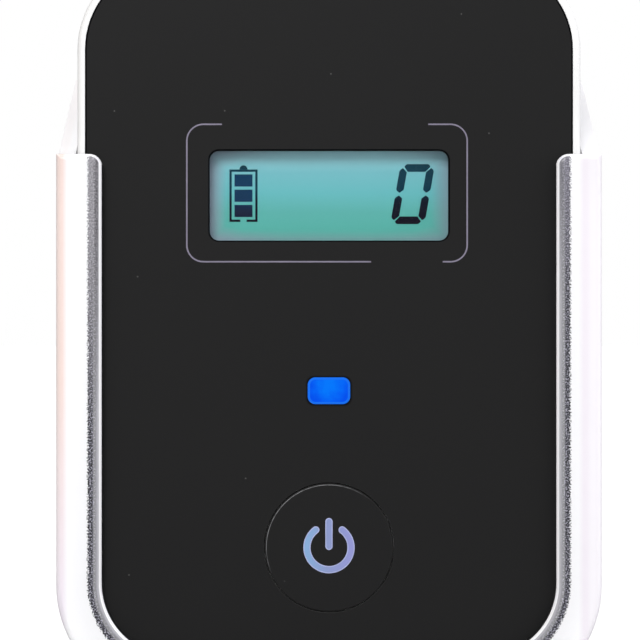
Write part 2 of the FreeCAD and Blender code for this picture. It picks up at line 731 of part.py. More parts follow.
def cut_vents(body):
    """Slots behind the gas sensor and a ring of holes behind the sounder."""
    start, end = S.rear_inner - S.overcut, S.case_rear + S.overcut
    slot = box_about(S.vent_slot, S.vent_length, S.vent_round)
    side = -S.sensor_side - S.vent_spacing * (S.vent_count - 1) / 2
    first = layer(body, "gas_vent", start, end, [slot], cut=True, middle=(side, S.sensor_z))
    repeat(body, "gas_vents", [first], "X_Axis", S.vent_spacing, S.vent_count)
    ring = around(int(S.sound_count.number), S.sound_circle)
    holes = [(x, z, S.sound_hole) for x, z in [(0, 0), *ring]]
    layer(body, "sound_vents", start, end, holes, cut=True, middle=(S.sensor_side, S.sensor_z))


def make_front_panel():
    """The black front panel; its rim and its display opening are bevelled, its key holes sharp."""
    body = new_body("front_panel")
    layer(body, "panel_sheet", S.case_front, S.panel_back, [case_outline(S.panel_margin + S.panel_gap)])
    view = box_about(S.view_width, S.view_height, S.view_corner)
    start, end = S.case_front - S.overcut, S.panel_back + S.overcut
    layer(body, "panel_view", start, end, [view], cut=True, middle=(0, S.display_z))
    bevel(body, "panel_edges", S.panel_edge, lambda edge: lies_at(edge, "Y", S.case_front))
    layer(body, "panel_power", start, end, [(0, S.power_z, S.power_radius + S.power_gap)], cut=True)
    layer(body, "panel_max", start, end, [max_outline(S.max_gap)], cut=True, middle=(0, S.max_z))
    return body


def make_panel_tape():
    """The adhesive sheet between panel and case, cut clear of the openings."""
    body = new_body("panel_tape")
    inset = S.panel_margin + S.tape_inset
    layer(body, "tape_sheet", S.panel_back, S.recess_floor, [case_outline(inset)])
    rim = 2 * (S.pane_rim + S.pane_gap)
    view = box_about(S.view_width + rim, S.view_height + rim, S.view_corner + rim / 2)
    start, end = S.panel_back - S.overcut, S.recess_floor + S.overcut
    layer(body, "tape_view", start, end, [view], cut=True, middle=(0, S.display_z))
    clear = S.tape_inset
    layer(body, "tape_power", start, end, [(0, S.power_z, S.power_radius + clear)], cut=True)
    layer(body, "tape_max", start, end, [max_outline(clear)], cut=True, middle=(0, S.max_z))
    return body


def make_display():
    """Pane, liquid crystal cell, carrier frame, light guide, zebra strips and diodes."""
    middle = (0, S.display_z)
    pane = new_body("display_pane")
    rim = 2 * S.pane_rim
    outline = box_about(S.view_width + rim, S.view_height + rim, S.view_corner + S.pane_rim)
    layer(pane, "pane_sheet", S.panel_back, S.panel_back + S.pane_thick, [outline], middle=middle)
    side, half = S.glass_width / 2, S.glass_height / 2
    z = S.display_z
    glass = block("lcd_glass", (-side, side), (S.wall_back, S.glass_back), (z - half, z + half))
    carrier = new_body("lcd_carrier")
    gap, wall = 2 * S.carrier_gap, 2 * (S.carrier_gap + S.carrier_wall)
    inner = box_about(S.glass_width + gap, S.glass_height + gap)
    outer = box_about(S.glass_width + wall, S.glass_height + wall, S.carrier_wall)
    layer(carrier, "carrier_ring", S.wall_back, S.board_front, [outer, inner], middle=middle)
    strips = []
    run = side - S.strip_end
    high = half - S.strip_inset
    low = high - S.strip_height
    lit, tall = side - S.guide_end, low - S.guide_gap
    guide = block("light_guide", (-lit, lit), (S.glass_back, S.board_front), (z - tall, z + tall))
    for name, span in (("lower", (z - high, z - low)), ("upper", (z + low, z + high))):
        strips.append(block("strip_" + name, (-run, run), (S.glass_back, S.board_front), span))
    zebra = joined("zebra_strips", "Part::Compound", strips)
    diodes = []
    near_end = lit + S.diode_gap
    far_end = near_end + S.diode_length
    tall = S.diode_height / 2
    for name, span in (("left", (-far_end, -near_end)), ("right", (near_end, far_end))):
        depth = (S.board_front - S.diode_length, S.board_front)
        diodes.append(block("diode_" + name, span, depth, (z - tall, z + tall)))
    lights = joined("backlight_diodes", "Part::Compound", diodes)
    return [pane, glass, carrier, guide, zebra, lights]


def make_power_key():
    """The round key: cap with a flange behind the wall, its stem, and the switch under it."""
    key = new_body("power_button")
    layer(key, "power_cap", S.case_front, S.flange_back, [(0, S.power_z, S.power_radius)])
    wide = S.power_radius + S.power_flange
    layer(key, "power_rim", S.flange_front, S.flange_back, [(0, S.power_z, wide)])
    bevel(key, "power_edge", S.key_edge, lambda edge: lies_at(edge, "Y", S.case_front))
    stem = rod("power_button_stem", S.power_stem, 0, S.power_z, S.flange_back, S.stem_end)
    return [key, stem, make_switch("power_switch", S.power_switch_width, S.power_stem, S.power_z)]


def make_switch(label, width, stem, height):
    """A tact switch on the board with a well for its stem."""
    switch = new_body(label)
    middle = (0, height)
    outline = box_about(width, width, S.switch_corner)
    layer(switch, label + "_case", S.switch_front, S.board_front, [outline], middle=middle)
    well = [(0, 0, stem + S.stem_gap)]
    layer(switch, label + "_well", S.switch_front, S.stem_room, well, cut=True, middle=middle)
    return switch


def make_max_key():
    """The small lit key, its stem, its switch and the blue diodes beside the switch."""
    key = new_body("max_button")
    middle = (0, S.max_z)
    layer(key, "max_cap", S.case_front, S.flange_back, [max_outline(size(0))], middle=middle)
    reach = 2 * S.max_flange
    rim = box_about(S.max_width + reach, S.max_tall + reach, S.max_corner)
    layer(key, "max_rim", S.flange_front, S.flange_back, [rim], middle=middle)
    bevel(key, "max_edge", S.key_edge, lambda edge: lies_at(edge, "Y", S.case_front))
    stem = rod("max_button_stem", S.max_stem, 0, S.max_z, S.flange_back, S.stem_end)
    switch = make_switch("max_switch", S.max_switch_width, S.max_stem, S.max_z)
    start = S.max_switch_width / 2 + S.max_diode_gap
    end = start + S.max_diode_width
    depth = (S.board_front - S.max_diode_thick, S.board_front)
    height = (S.max_z - S.max_diode_width / 2, S.max_z + S.max_diode_width / 2)
    diodes = []
    for name, span in (("left", (-end, -start)), ("right", (start, end))):
        diodes.append(block("blue_" + name, span, depth, height))
    return [key, stem, switch, joined("blue_diodes", "Part::Compound", diodes)]


def make_main_board():
    """The circuit board, notched round the screw posts and drilled for screws and pins."""
    board = new_body("main_board")
    side = S.board_side
    base = S.case_base + S.case_wall + S.board_clear
    top = S.case_top - S.case_wall - S.board_clear
    inner = S.case_width / 2 - S.post_side - S.post_radius - S.board_notch
    notch = S.post_inset + S.post_radius + S.board_notch
    low, high = S.case_base + notch, S.case_top - notch
    bend = S.board_corner
    right = [(inner, base, bend), (inner, low, bend), (side, low, bend),
             (side, high, bend), (inner, high, bend), (inner, top, bend)]
    left = [(-x, z, bend) for x, z, bend in reversed(right)]
    layer(board, "board_sheet", S.board_front, S.board_back, [right + left])
    holes = [(x, z, S.board_screw + S.screw_pass) for x, z in board_spots()]
    holes += [(x, z, S.pin_radius + S.screw_gap) for x, z in pin_spots()]
    start, end = S.board_front - S.overcut, S.board_back + S.overcut
    layer(board, "board_holes", start, end, holes, cut=True)
    return board


def pin_spots():
    """The gas sensor's three pins: x and z."""
    ring = around(3, S.pin_circle, start=90)
    return [(x - S.sensor_side, S.sensor_z + z) for x, z in ring]


def make_sensor():
    """The gas sensor can, its pins and its foam ring against the rear shell."""
    x, z = -S.sensor_side, S.sensor_z
    can = new_body("gas_sensor")
    base, top = S.board_back, S.rear_inner - S.sensor_seal
    step = top - S.sensor_step
    half = [(0, base), (S.sensor_radius, base), (S.sensor_radius, step), (S.sensor_cap, step),
            (S.sensor_cap, top), (0, top)]
    turn(can, "sensor_can", x, z, half)
    inlet = [(0, 0, S.sensor_hole)]
    layer(can, "sensor_inlet", top - S.sensor_step / 2, top + S.overcut, inlet, cut=True, middle=(x, z))
    start = S.board_front - S.pin_reach
    pins = []
    for index, (side, height) in enumerate(pin_spots()):
        pins.append(rod(f"pin_{index}", S.pin_radius, side, height, start, base))
    legs = joined("sensor_pins", "Part::Compound", pins)
    ring = make_foam_ring("sensor_gasket", x, S.sensor_cap, top)
    return [can, legs, ring]


def make_foam_ring(label, side, radius, start):
    """A foam ring that fills the gap up to the rear shell."""
    ring = new_body(label)
    circles = [(0, 0, radius), (0, 0, radius - S.gasket_width)]
    layer(ring, label + "_ring", start, S.rear_inner, circles, middle=(side, S.sensor_z))
    return ring


def make_sounder():
    """The sounder can with its sound hole, and its foam ring."""
    x, z = S.sensor_side, S.sensor_z
    can = new_body("sounder")
    base, top = S.board_back, S.rear_inner - S.sounder_seal
    wide = S.sounder_radius
    half = [(0, base), (wide, base), (wide, top), (0, top)]
    turn(can, "sounder_can", x, z, half)
    mouth = [(0, 0, S.sounder_hole)]
    deep = top - S.sounder_mouth
    layer(can, "sounder_hole", deep, top + S.overcut, mouth, cut=True, middle=(x, z))
    return [can, make_foam_ring("sounder_gasket", x, S.sounder_radius, top)]


def make_batteries():
    """Two cells side by side, one turned over, with a spring and a plate contact at each."""
    cells = new_body("battery_cells")
    springs = new_body("battery_springs")
    plates = []
    thick = S.contact_thick
    half = S.cell_radius - S.contact_inset
    depth = (S.cell_y - half, S.cell_y + half)
    ends = (("low", (S.bay_base, S.bay_base + thick)), ("high", (S.bay_top - thick, S.bay_top)))
    for name, side in (("left", -S.cell_side), ("right", S.cell_side)):
        for end, span in ends:
            plates.append(block(f"plate_{end}_{name}", (side - half, side + half), depth, span))
    low = S.bay_base + thick + S.spring_length
    add_cell(cells, "cell_left", -S.cell_side, low, low + S.cell_length, S.nub_length)
    add_spring(springs, "spring_left", -S.cell_side, S.bay_base + thick)
    high = S.bay_top - thick - S.spring_length
    add_cell(cells, "cell_right", S.cell_side, high, high - S.cell_length, -S.nub_length)
    add_spring(springs, "spring_right", S.cell_side, high)
    return [cells, springs, joined("battery_contacts", "Part::Compound", plates)]


def add_cell(cells, name, side, flat, shoulder, nub):
    """A cell from its flat end to its shoulder, with its nub beyond."""
    half = [(0, flat), (S.cell_radius, flat), (S.cell_radius, shoulder), (S.nub_radius, shoulder),
            (S.nub_radius, shoulder + nub), (0, shoulder + nub)]
    drawing = sketch(cells, name + "_sketch", "XZ_Plane", (side, 0, -S.cell_y), [half])
    cell = cells.newObject("PartDesign::Revolution", name)
    cell.Profile = drawing
    cell.ReferenceAxis = (drawing, ["V_Axis"])
    cell.Angle = 360


def add_spring(springs, name, side, base):
    """A coil spring pressed between a contact plate and the flat end of a cell."""
    wire = S.wire_radius
    ring = [(S.spring_radius + x, z) for x, z in around(6, wire)]
    rise = S.spring_length - 2 * (wire + S.wire_end_gap)
    at = (side, base + wire + S.wire_end_gap, -S.cell_y)
    coil = springs.newObject("PartDesign::AdditiveHelix", name)
    coil.Profile = sketch(springs, name + "_sketch", "XZ_Plane", at, [ring])
    coil.ReferenceAxis = (coil.Profile[0], ["V_Axis"])
    coil.Mode = "pitch-height-angle"
    bind(coil, "Height", rise)
    bind(coil, "Pitch", rise / S.spring_turns)


def make_battery_door():
    """The door that slides up off the bay: plate, side tongues and grip grooves."""
    door = new_body("battery_door")
    half = S.door_side
    base, top = S.door_base, S.case_top
    plate = [(-half, base), (half, base), (half, top), (-half, top)]
    layer(door, "door_plate", S.door_front, S.case_rear, [plate])
    top_round = smaller(S.rear_round, S.door_thick - S.door_round_spare)

    def top_edge(edge):
        return lies_at(edge, "Y", S.case_rear) and lies_at(edge, "Z", top)

    soften(door, "door_top_round", top_round, top_edge)
    half = half + S.door_tongue
    tongue = [(-half, base), (half, base), (half, top - S.case_wall), (-half, top - S.case_wall)]
    layer(door, "door_tongues", S.door_front, S.door_tongue_back, [tongue])
    groove = box_about(S.grip_width, S.grip_groove)
    start, end = S.case_rear - S.grip_depth, S.case_rear + S.overcut
    low = (0, base + S.grip_height)
    first = layer(door, "door_groove", start, end, [groove], cut=True, middle=low)
    repeat(door, "door_grooves", [first], "Z_Axis", S.grip_spacing, S.grip_count)
    return door


def make_screws(label, spots, shank, length, head, thick, seat):
    """Cross head screws driven toward the front; the seat is under their heads."""
    screws = new_body(label)
    top, edge = seat + thick, head - S.head_bevel
    for index, (x, z) in enumerate(spots):
        half = [(0, seat - length), (shank, seat - length), (shank, seat), (head, seat),
                (head, top - S.head_bevel), (edge, top), (0, top)]
        turn(screws, f"{label}_{index}", x, z, half)
    crosses = [cross_about(x, z, head * S.cross_share) for x, z in spots]
    layer(screws, label + "_recess", top - S.cross_depth, top + S.overcut, crosses, cut=True)
    return screws


def cross_about(x, z, reach):
    """A cross recess seen from the front."""
    arm = S.cross_slot / 2
    quarter = [(reach, -arm), (reach, arm), (arm, arm)]
    corners = []
    for _ in range(4):
        corners += [(x + across_x, z + up_z) for across_x, up_z in quarter]
        quarter = [(-up_z, across_x) for across_x, up_z in quarter]
    return corners


def make_chips():
    """Controller with its leads, crystal, and small chip parts on the back of the board."""
    x, z = -S.chip_x, S.case_top - S.chip_drop
    half = S.chip_width / 2
    y = S.board_back
    solids = [block("chip_case", (x - half, x + half), (y, y + S.chip_thick), (z - half, z + half))]
    ends = (("left", x - half - S.lead_reach, x - half), ("right", x + half, x + half + S.lead_reach))
    count = int(S.lead_count.number)
    for index in range(count):
        at = z + (index - (count - 1) / 2) * S.lead_spacing
        span = (at - S.lead_width / 2, at + S.lead_width / 2)
        for name, start, end in ends:
            solids.append(block(f"lead_{name}_{index}", (start, end), (y, y + S.lead_thick), span))
    controller = joined("controller", "Part::MultiFuse", solids)
    crystal = DOC.addObject("Part::Cylinder", "crystal")
    bind(crystal, "Radius", S.crystal_radius)
    bind(crystal, "Height", S.crystal_length)
    for axis, value in zip("xyz", (S.chip_x, y + S.crystal_radius, z - S.crystal_length / 2)):
        bind(crystal, f".Placement.Base.{axis}", value)
    small = []
    for row in range(int(S.small_rows.number)):
        height = z + S.crystal_length + row * S.small_spacing
        rise = (height - S.small_length / 2, height + S.small_length / 2)
        for name, middle in (("inner", -S.small_spacing / 2), ("outer", S.small_spacing / 2)):
            side = S.chip_x + middle
            span = (side - S.small_width / 2, side + S.small_width / 2)
            small.append(block(f"small_{name}_{row}", span, (y, y + S.small_thick), rise))
    return [controller, crystal, joined("chip_parts", "Part::Compound", small)]


def make_all():
    """Build every sub-part and return them."""
    parts = [make_holder(), make_front_shell(), make_rear_shell(), make_front_panel(), make_panel_tape()]
    parts += make_display()
    parts += make_power_key()
    parts += make_max_key()
    parts += [make_main_board()]
    parts += make_sensor()
    parts += make_sounder()
    parts += make_batteries()
    parts += make_chips()
    parts += [make_battery_door()]
    parts.append(make_screws("case_screws", post_spots(), S.case_screw, S.case_screw_length,
                             S.case_screw_head, S.case_head_thick, S.post_floor))
    parts.append(make_screws("board_screws", board_spots(), S.board_screw, S.board_screw_length,
                             S.board_screw_head, S.board_head_thick, S.board_back))
    return parts


def check(parts):
    """Stop if anything in the document failed or a cut removed nothing."""
    for item in DOC.Objects:
        if "Invalid" in item.State or "Error" in item.State:
            raise SystemExit(f"{item.Label}: {item.State}")
        if item.TypeId in ("PartDesign::Pocket", "PartDesign::Groove"):
            before = item.BaseFeature.Shape.Volume
            if item.Shape.Volume > before - 1e-6:
                raise SystemExit(f"{item.Label} cuts nothing")
    for part in parts:
        if part.Shape.isNull() or not part.Shape.isValid():
            raise SystemExit(f"{part.Label} has no valid shape")


def main():
    """Build, check and write the parts."""
    fill_sheet()
    name_places()
    parts = make_all()
    DOC.recompute()
    check(parts)
    os.makedirs("parts", exist_ok=True)
    for part in parts:
        part.Shape.exportStep(f"parts/{part.Label}.step")


main()
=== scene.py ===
"""Looks of the carbon monoxide monitor in its clear wall holder.

The solids come from the CAD frame and keep their meshes; this script gives them materials and adds
the printed and shown marks and the dressed screws. Plain numbers for places are millimetres.
"""

import math

import bmesh
import bpy
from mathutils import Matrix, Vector


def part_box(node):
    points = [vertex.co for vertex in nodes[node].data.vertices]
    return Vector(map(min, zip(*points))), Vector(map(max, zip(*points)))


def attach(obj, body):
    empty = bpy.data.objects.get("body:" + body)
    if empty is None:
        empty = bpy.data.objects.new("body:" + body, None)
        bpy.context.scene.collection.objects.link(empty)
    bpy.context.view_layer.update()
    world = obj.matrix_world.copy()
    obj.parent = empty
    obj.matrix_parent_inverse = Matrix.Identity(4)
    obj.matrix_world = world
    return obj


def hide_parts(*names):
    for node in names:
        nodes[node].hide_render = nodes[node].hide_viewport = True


MM = 0.001

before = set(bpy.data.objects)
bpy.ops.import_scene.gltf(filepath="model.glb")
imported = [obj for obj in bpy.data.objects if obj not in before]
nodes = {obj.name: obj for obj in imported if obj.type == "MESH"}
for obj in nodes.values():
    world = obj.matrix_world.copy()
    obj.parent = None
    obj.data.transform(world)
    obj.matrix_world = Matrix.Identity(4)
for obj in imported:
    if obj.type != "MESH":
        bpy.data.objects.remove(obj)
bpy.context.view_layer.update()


# ---------------------------------------------------------------- places taken from the frame

def at(node, x=0.5, y=0.5, z=0.5):
    """A point of a node's box in millimetres; 0 is its low side and 1 its high side."""
    low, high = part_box(node)
    return [(low[i] + (high[i] - low[i]) * share) / MM for i, share in enumerate((x, y, z))]


PANEL_FRONT = at("front_panel", y=0)[1]
GLASS_FRONT = at("lcd_glass", y=0)[1]
DISPLAY_Z = at("lcd_glass")[2]
POWER_Z = at("power_button")[2]
MAX_Z = at("max_button")[2]
HOLDER_FRONT = at("holder", y=0)[1]
HOLDER_SIDE = at("holder", x=1)[0]

VIEW_WIDTH = 30.35      # the opening that shows the display
VIEW_HEIGHT = 11.4
DIGIT_REACH = 3.9       # half the digit's height and a little more
LIP_WIDTH = 5.8         # holder's side to the lips' inner edge
LIP_EDGE = HOLDER_SIDE - LIP_WIDTH
LIP_SILL = 5.6          # top of the bottom lip
LIP_BEND = 9.25         # radius where side and bottom lips meet
LIP_TOP = 69.1
LIP_CORNER = 1.6        # radius of the lips' top corners
LIP_REACH = 2.5         # width of the lips' flat front, over which their bands are laid out
KEY_RADIUS = 8.15
SCREW_HEAD = 2.2        # radius of the case screws' heads
SCREW_SHANK = 1.2
SCREW_HEAD_THICK = 1.6
CASE_MIDDLE = (0, 0, 0.048)     # metres


# ---------------------------------------------------------------- camera, light and floor

def aim(thing, target):
    """Point a camera or lamp at a place."""
    thing.rotation_mode = "QUATERNION"
    thing.rotation_quaternion = (Vector(target) - thing.location).to_track_quat("-Z", "Y")


def add_camera():
    """A camera square to the front panel, a little left of its middle."""
    data = bpy.data.cameras.new("view_camera")
    camera = bpy.data.objects.new("view_camera", data)
    bpy.context.scene.collection.objects.link(camera)
    seen_width, distance = 81.27, 300.0
    left, height = -1.14, 48.1
    camera.location = (left * MM, (PANEL_FRONT - distance) * MM, height * MM)
    aim(camera, (left * MM, PANEL_FRONT * MM, height * MM))
    data.sensor_width = 36.0
    data.lens = 36.0 * distance / seen_width
    data.clip_start = 0.01
    data.clip_end = 10
    bpy.context.scene.camera = camera


def add_lamp(name, place, size, watts, tint=(1, 1, 1)):
    """A soft square lamp aimed at the middle of the case."""
    data = bpy.data.lights.new(name, "AREA")
    data.shape = "SQUARE"
    data.size = size
    data.energy = watts
    data.color = tint
    lamp = bpy.data.objects.new(name, data)
    bpy.context.scene.collection.objects.link(lamp)
    lamp.location = place
    aim(lamp, CASE_MIDDLE)


def add_room():
    """White surroundings that light the left side less, so that the white case's edge shows there."""
    world = bpy.data.worlds.new("white_room")
    bpy.context.scene.world = world
    world.use_nodes = True
    tree = world.node_tree
    surround = tree.nodes["Background"]
    place = tree.nodes.new("ShaderNodeTexCoord")
    axes = tree.nodes.new("ShaderNodeSeparateXYZ")
    tree.links.new(place.outputs["Generated"], axes.inputs[0])

    def fade(axis, start, end, kind):
        node = tree.nodes.new("ShaderNodeMapRange")
        node.interpolation_type = kind
        node.inputs["From Min"].default_value = start
        node.inputs["From Max"].default_value = end
        tree.links.new(axes.outputs[axis], node.inputs["Value"])
        return node.outputs["Result"]

    seen = fade("X", -0.90, 0.15, "SMOOTHSTEP")
    overhead = fade("Z", 0.5, 0.9, "LINEAR")
    ray = tree.nodes.new("ShaderNodeLightPath").outputs
    for light in (overhead, ray["Is Camera Ray"], ray["Is Transmission Ray"]):
        brighter = tree.nodes.new("ShaderNodeMath")
        brighter.operation = "MAXIMUM"
        tree.links.new(seen, brighter.inputs[0])
        tree.links.new(light, brighter.inputs[1])
        seen = brighter.outputs[0]
    surround.inputs["Color"].default_value = (1, 1, 1, 1)
    tree.links.new(seen, surround.inputs["Strength"])


def add_studio():
    """White room, soft lamps and a pale floor."""
    bpy.context.scene.view_settings.view_transform = "Standard"
    add_room()
    add_lamp("key_lamp", (-0.15, -0.60, 0.45), 0.30, 3.0)
    add_lamp("warm_lamp", (-0.60, -0.10, 0.30), 0.30, 0.25, (1.0, 0.80, 0.70))
    add_lamp("cool_lamp", (0.60, -0.15, 0.10), 0.30, 0.5, (0.86, 0.84, 1.0))
    bpy.ops.mesh.primitive_plane_add(size=8)
    floor = bpy.context.object
    floor.name = "floor"
    floor.data.materials.append(floor_paper())


# ---------------------------------------------------------------- material helpers

class Finish:
    """A node material with its Principled shader at hand; the maths here is in millimetres."""

    def __init__(self, name, color=None, roughness=None, **sockets):
        self.material = bpy.data.materials.new(name)
        self.material.use_nodes = True
        self.tree = self.material.node_tree
        self.skin = self.tree.nodes["Principled BSDF"]
        if color is not None:
            self.skin.inputs["Base Color"].default_value = (*color, 1)
        if roughness is not None:
            self.skin.inputs["Roughness"].default_value = roughness
        for socket, value in sockets.items():
            self.skin.inputs[socket.replace("_", " ")].default_value = value
        self.place = self.add("ShaderNodeTexCoord").outputs["Object"]

    def add(self, kind, **settings):
        node = self.tree.nodes.new(kind)
        for key, value in settings.items():
            setattr(node, key, value)
        return node

    def feed(self, socket, value):
        """Link an output to a socket, or set the socket to a number."""
        if hasattr(value, "links"):
            self.tree.links.new(value, socket)
        else:
            socket.default_value = value

    def to_skin(self, socket, value):
        self.tree.links.new(value, self.skin.inputs[socket])

    def maths(self, operation, first, second=0.0, third=0.0):
        node = self.add("ShaderNodeMath", operation=operation)
        for socket, value in zip(node.inputs, (first, second, third)):
            self.feed(socket, value)
        return node.outputs[0]

    def ramp(self, value, stops):
        """A colour ramp; each stop is its place and a colour or a grey."""
        node = self.add("ShaderNodeValToRGB")
        band = node.color_ramp
        while len(band.elements) < len(stops):
            band.elements.new(0.5)
        for element, (place, color) in zip(band.elements, stops):
            element.position = place
            shade = color if isinstance(color, tuple) else (color,) * 3
            element.color = (*shade, 1)
        self.tree.links.new(value, node.inputs["Fac"])
        return node.outputs["Color"]

    def span(self, value, low, high, to_low=0.0, to_high=1.0):
        """Map a range to another and clamp it."""
        node = self.add("ShaderNodeMapRange")
        for name, number in (("From Min", low), ("From Max", high), ("To Min", to_low), ("To Max", to_high)):
            self.feed(node.inputs[name], number)
        self.feed(node.inputs["Value"], value)
        return node.outputs["Result"]

    def blend(self, share, first, second):
        """Mix two colours or outputs."""
        node = self.add("ShaderNodeMix", data_type="RGBA")
        self.feed(node.inputs[0], share)
        for socket, value in zip((node.inputs[6], node.inputs[7]), (first, second)):
            self.feed(socket, (*value, 1) if isinstance(value, tuple) else value)
        return node.outputs[2]

    def length(self, first, second):
        """Length of a step along two axes."""
        squares = [self.maths("MULTIPLY", part, part) for part in (first, second)]
        return self.maths("SQRT", self.maths("ADD", *squares))

    def noise(self, size, detail=2.0, roughness=0.5):
        """Noise whose features are about that many millimetres wide."""
        node = self.add("ShaderNodeTexNoise")
        node.inputs["Scale"].default_value = 1 / (size * MM)
        node.inputs["Detail"].default_value = detail
        node.inputs["Roughness"].default_value = roughness
        self.tree.links.new(self.place, node.inputs["Vector"])
        return node.outputs["Fac"]

    def axes(self):
        """The surface's x, y and z in millimetres."""
        node = self.add("ShaderNodeSeparateXYZ")
        self.tree.links.new(self.place, node.inputs[0])
        return [self.maths("DIVIDE", node.outputs[axis], MM) for axis in range(3)]

    def specks(self, cell, radius, share):
        """1 on round specks scattered over the front: one in each cell, kept for a share of cells."""
        x, _, z = self.axes()
        flat = self.add("ShaderNodeCombineXYZ")
        self.tree.links.new(x, flat.inputs[0])
        self.tree.links.new(z, flat.inputs[1])
        cells = self.add("ShaderNodeTexVoronoi", voronoi_dimensions="2D")
        cells.inputs["Scale"].default_value = 1 / cell
        self.tree.links.new(flat.outputs[0], cells.inputs["Vector"])
        dot = self.maths("LESS_THAN", cells.outputs["Distance"], radius / cell)
        shade = self.add("ShaderNodeSeparateColor")
        self.tree.links.new(cells.outputs["Color"], shade.inputs[0])
        kept = self.maths("LESS_THAN", shade.outputs[0], share)
        return self.maths("MULTIPLY", dot, kept)

    def bumpy(self, height, strength, depth):
        """Bump of that many millimetres."""
        node = self.add("ShaderNodeBump")
        node.inputs["Strength"].default_value = strength
        node.inputs["Distance"].default_value = depth * MM
        self.tree.links.new(height, node.inputs["Height"])
        self.tree.links.new(node.outputs["Normal"], self.skin.inputs["Normal"])


# ---------------------------------------------------------------- materials

def floor_paper():
    """Even paper that looks white but throws less light back on the case's edges."""
    finish = Finish("floor_paper", (0.50, 0.50, 0.50), 0.9, Specular_IOR_Level=0.1,
                    Emission_Color=(1, 1, 1, 1))
    ray = finish.add("ShaderNodeLightPath").outputs
    seen = finish.maths("MAXIMUM", ray["Is Camera Ray"], ray["Is Transmission Ray"])
    finish.to_skin("Emission Strength", finish.maths("MULTIPLY", seen, 0.7))
    finish.bumpy(finish.noise(25), 0.02, 0.5)
    return finish.material


def moulded(name, color, roughness=0.42, grain=0.11, depth=0.08, shade=0.04):
    """Moulded plastic: a spark-eroded grain and a slight unevenness of tone and gloss."""
    finish = Finish(name, color, roughness)
    cloud = finish.noise(5.5, 3)
    dark = tuple(part * (1 - shade) for part in color)
    finish.to_skin("Base Color", finish.ramp(cloud, [(0.3, dark), (0.7, color)]))
    finish.to_skin("Roughness", finish.span(cloud, 0.3, 0.7, roughness - 0.04, roughness + 0.05))
    finish.bumpy(finish.noise(grain, 1), depth, 0.05)
    return finish.material


def metal(name, color, roughness=0.3, streak=1.1):
    """Plated or drawn metal with faint streaks."""
    finish = Finish(name, color, roughness, Metallic=1.0)
    wave = finish.noise(streak, 2, 0.7)
    dark = tuple(part * 0.82 for part in color)
    finish.to_skin("Base Color", finish.ramp(wave, [(0.35, dark), (0.65, color)]))
    finish.to_skin("Roughness", finish.span(wave, 0.3, 0.7, roughness - 0.08, roughness + 0.1))
    finish.bumpy(wave, 0.05, 0.04)
    return finish.material


BLACK = (0.0135, 0.0135, 0.0137)        # shared by the panel and its round key


def past_front(finish, y):
    """0 on the panel's front face and 1 on the bevels behind it."""
    return finish.span(y, PANEL_FRONT + 0.01, PANEL_FRONT + 0.03)


def panel_black():
    """Satin black panel with a very fine grain and a few grains of dust; painted shade darkens its bevels and
    a ring round the small key, and painted light lifts the walls of the round key's hole.
    """
    # edge is the near black of the painted shade; dust is the grey of real dust specks
    edge, dust = (0.001, 0.001, 0.002), (0.08, 0.08, 0.08)
    finish = Finish("panel_black", BLACK, 0.42, Specular_IOR_Level=0.07)
    x, y, z = finish.axes()
    u = finish.maths("MAXIMUM", finish.maths("SUBTRACT", finish.maths("ABSOLUTE", x), 1.9))
    up = finish.maths("ABSOLUTE", finish.maths("SUBTRACT", z, MAX_Z))
    v = finish.maths("MAXIMUM", finish.maths("SUBTRACT", up, 0.9))
    from_key = finish.length(u, v)
    # painted shade: the face goes near black in a ring round the small key's opening
    shade = finish.span(from_key, 0.85, 1.10, 1.0, 0.0)
    from_round_key = finish.length(x, finish.maths("SUBTRACT", z, POWER_Z))
    behind = past_front(finish, y)
    # painted light on the walls of the round key's hole, painted shade on the other bevels
    far = finish.span(from_round_key, KEY_RADIUS + 0.45, KEY_RADIUS + 0.65)
    bevel = finish.blend(far, (0.12, 0.12, 0.12), edge)
    face = finish.blend(finish.specks(15.0, 0.10, 0.4), BLACK, dust)
    finish.to_skin("Base Color", finish.blend(behind, finish.blend(shade, face, edge), bevel))
    cloud = finish.noise(16, 3)
    finish.to_skin("Roughness", finish.span(cloud, 0.3, 0.7, 0.36, 0.44))
    finish.bumpy(finish.noise(0.16, 1), 0.03, 0.03)
    return finish.material


def key_black():
    """The round key: the panel's black with a thin painted highlight from lower left over the top of its rim,
    and painted light on its bevel and on its parts deep in the hole that lifts the shade of the gap round it.
    """
    finish = Finish("key_black", BLACK, 0.42, Specular_IOR_Level=0.07)
    x, y, z = finish.axes()
    rise = finish.maths("SUBTRACT", z, POWER_Z)
    turned = finish.maths("SUBTRACT", finish.maths("ARCTAN2", rise, x), math.radians(50))
    turned = finish.maths("DIVIDE", finish.maths("WRAP", turned, math.tau), math.tau)
    # painted highlight: an arc round the rim from lower left over the top
    highlight_arc = finish.ramp(turned, [
        (0.0, 0.0), (0.03, 0.25), (0.10, 0.9), (0.20, 1.0), (0.33, 0.9), (0.40, 0.4), (0.43, 0.0),
    ])
    from_axis = finish.length(x, rise)
    # the painted highlight's thin line on the rim, broken up by noise
    line = finish.maths("MULTIPLY", finish.span(from_axis, KEY_RADIUS - 0.25, KEY_RADIUS - 0.21),
                        finish.span(from_axis, KEY_RADIUS - 0.18, KEY_RADIUS - 0.14, 1.0, 0.0))
    line = finish.maths("MULTIPLY", line, finish.span(finish.noise(0.7, 2), 0.35, 0.6, 0.45, 1.0))
    face = finish.blend(finish.specks(8.0, 0.10, 0.3), BLACK, (0.05, 0.05, 0.05))
    face = finish.blend(finish.maths("MULTIPLY", highlight_arc, line), face, (0.26, 0.26, 0.27))
    # painted light: the bevel a little lighter than the face and the parts deep in the hole near white,
    # lifting the shade of the gap
    outside = finish.blend(past_front(finish, y), face, (0.025, 0.025, 0.025))
    inside = finish.span(y, PANEL_FRONT + 0.5, PANEL_FRONT + 0.6)
    finish.to_skin("Base Color", finish.blend(inside, outside, (0.8, 0.8, 0.8)))
    finish.bumpy(finish.noise(0.16, 1), 0.03, 0.03)
    return finish.material


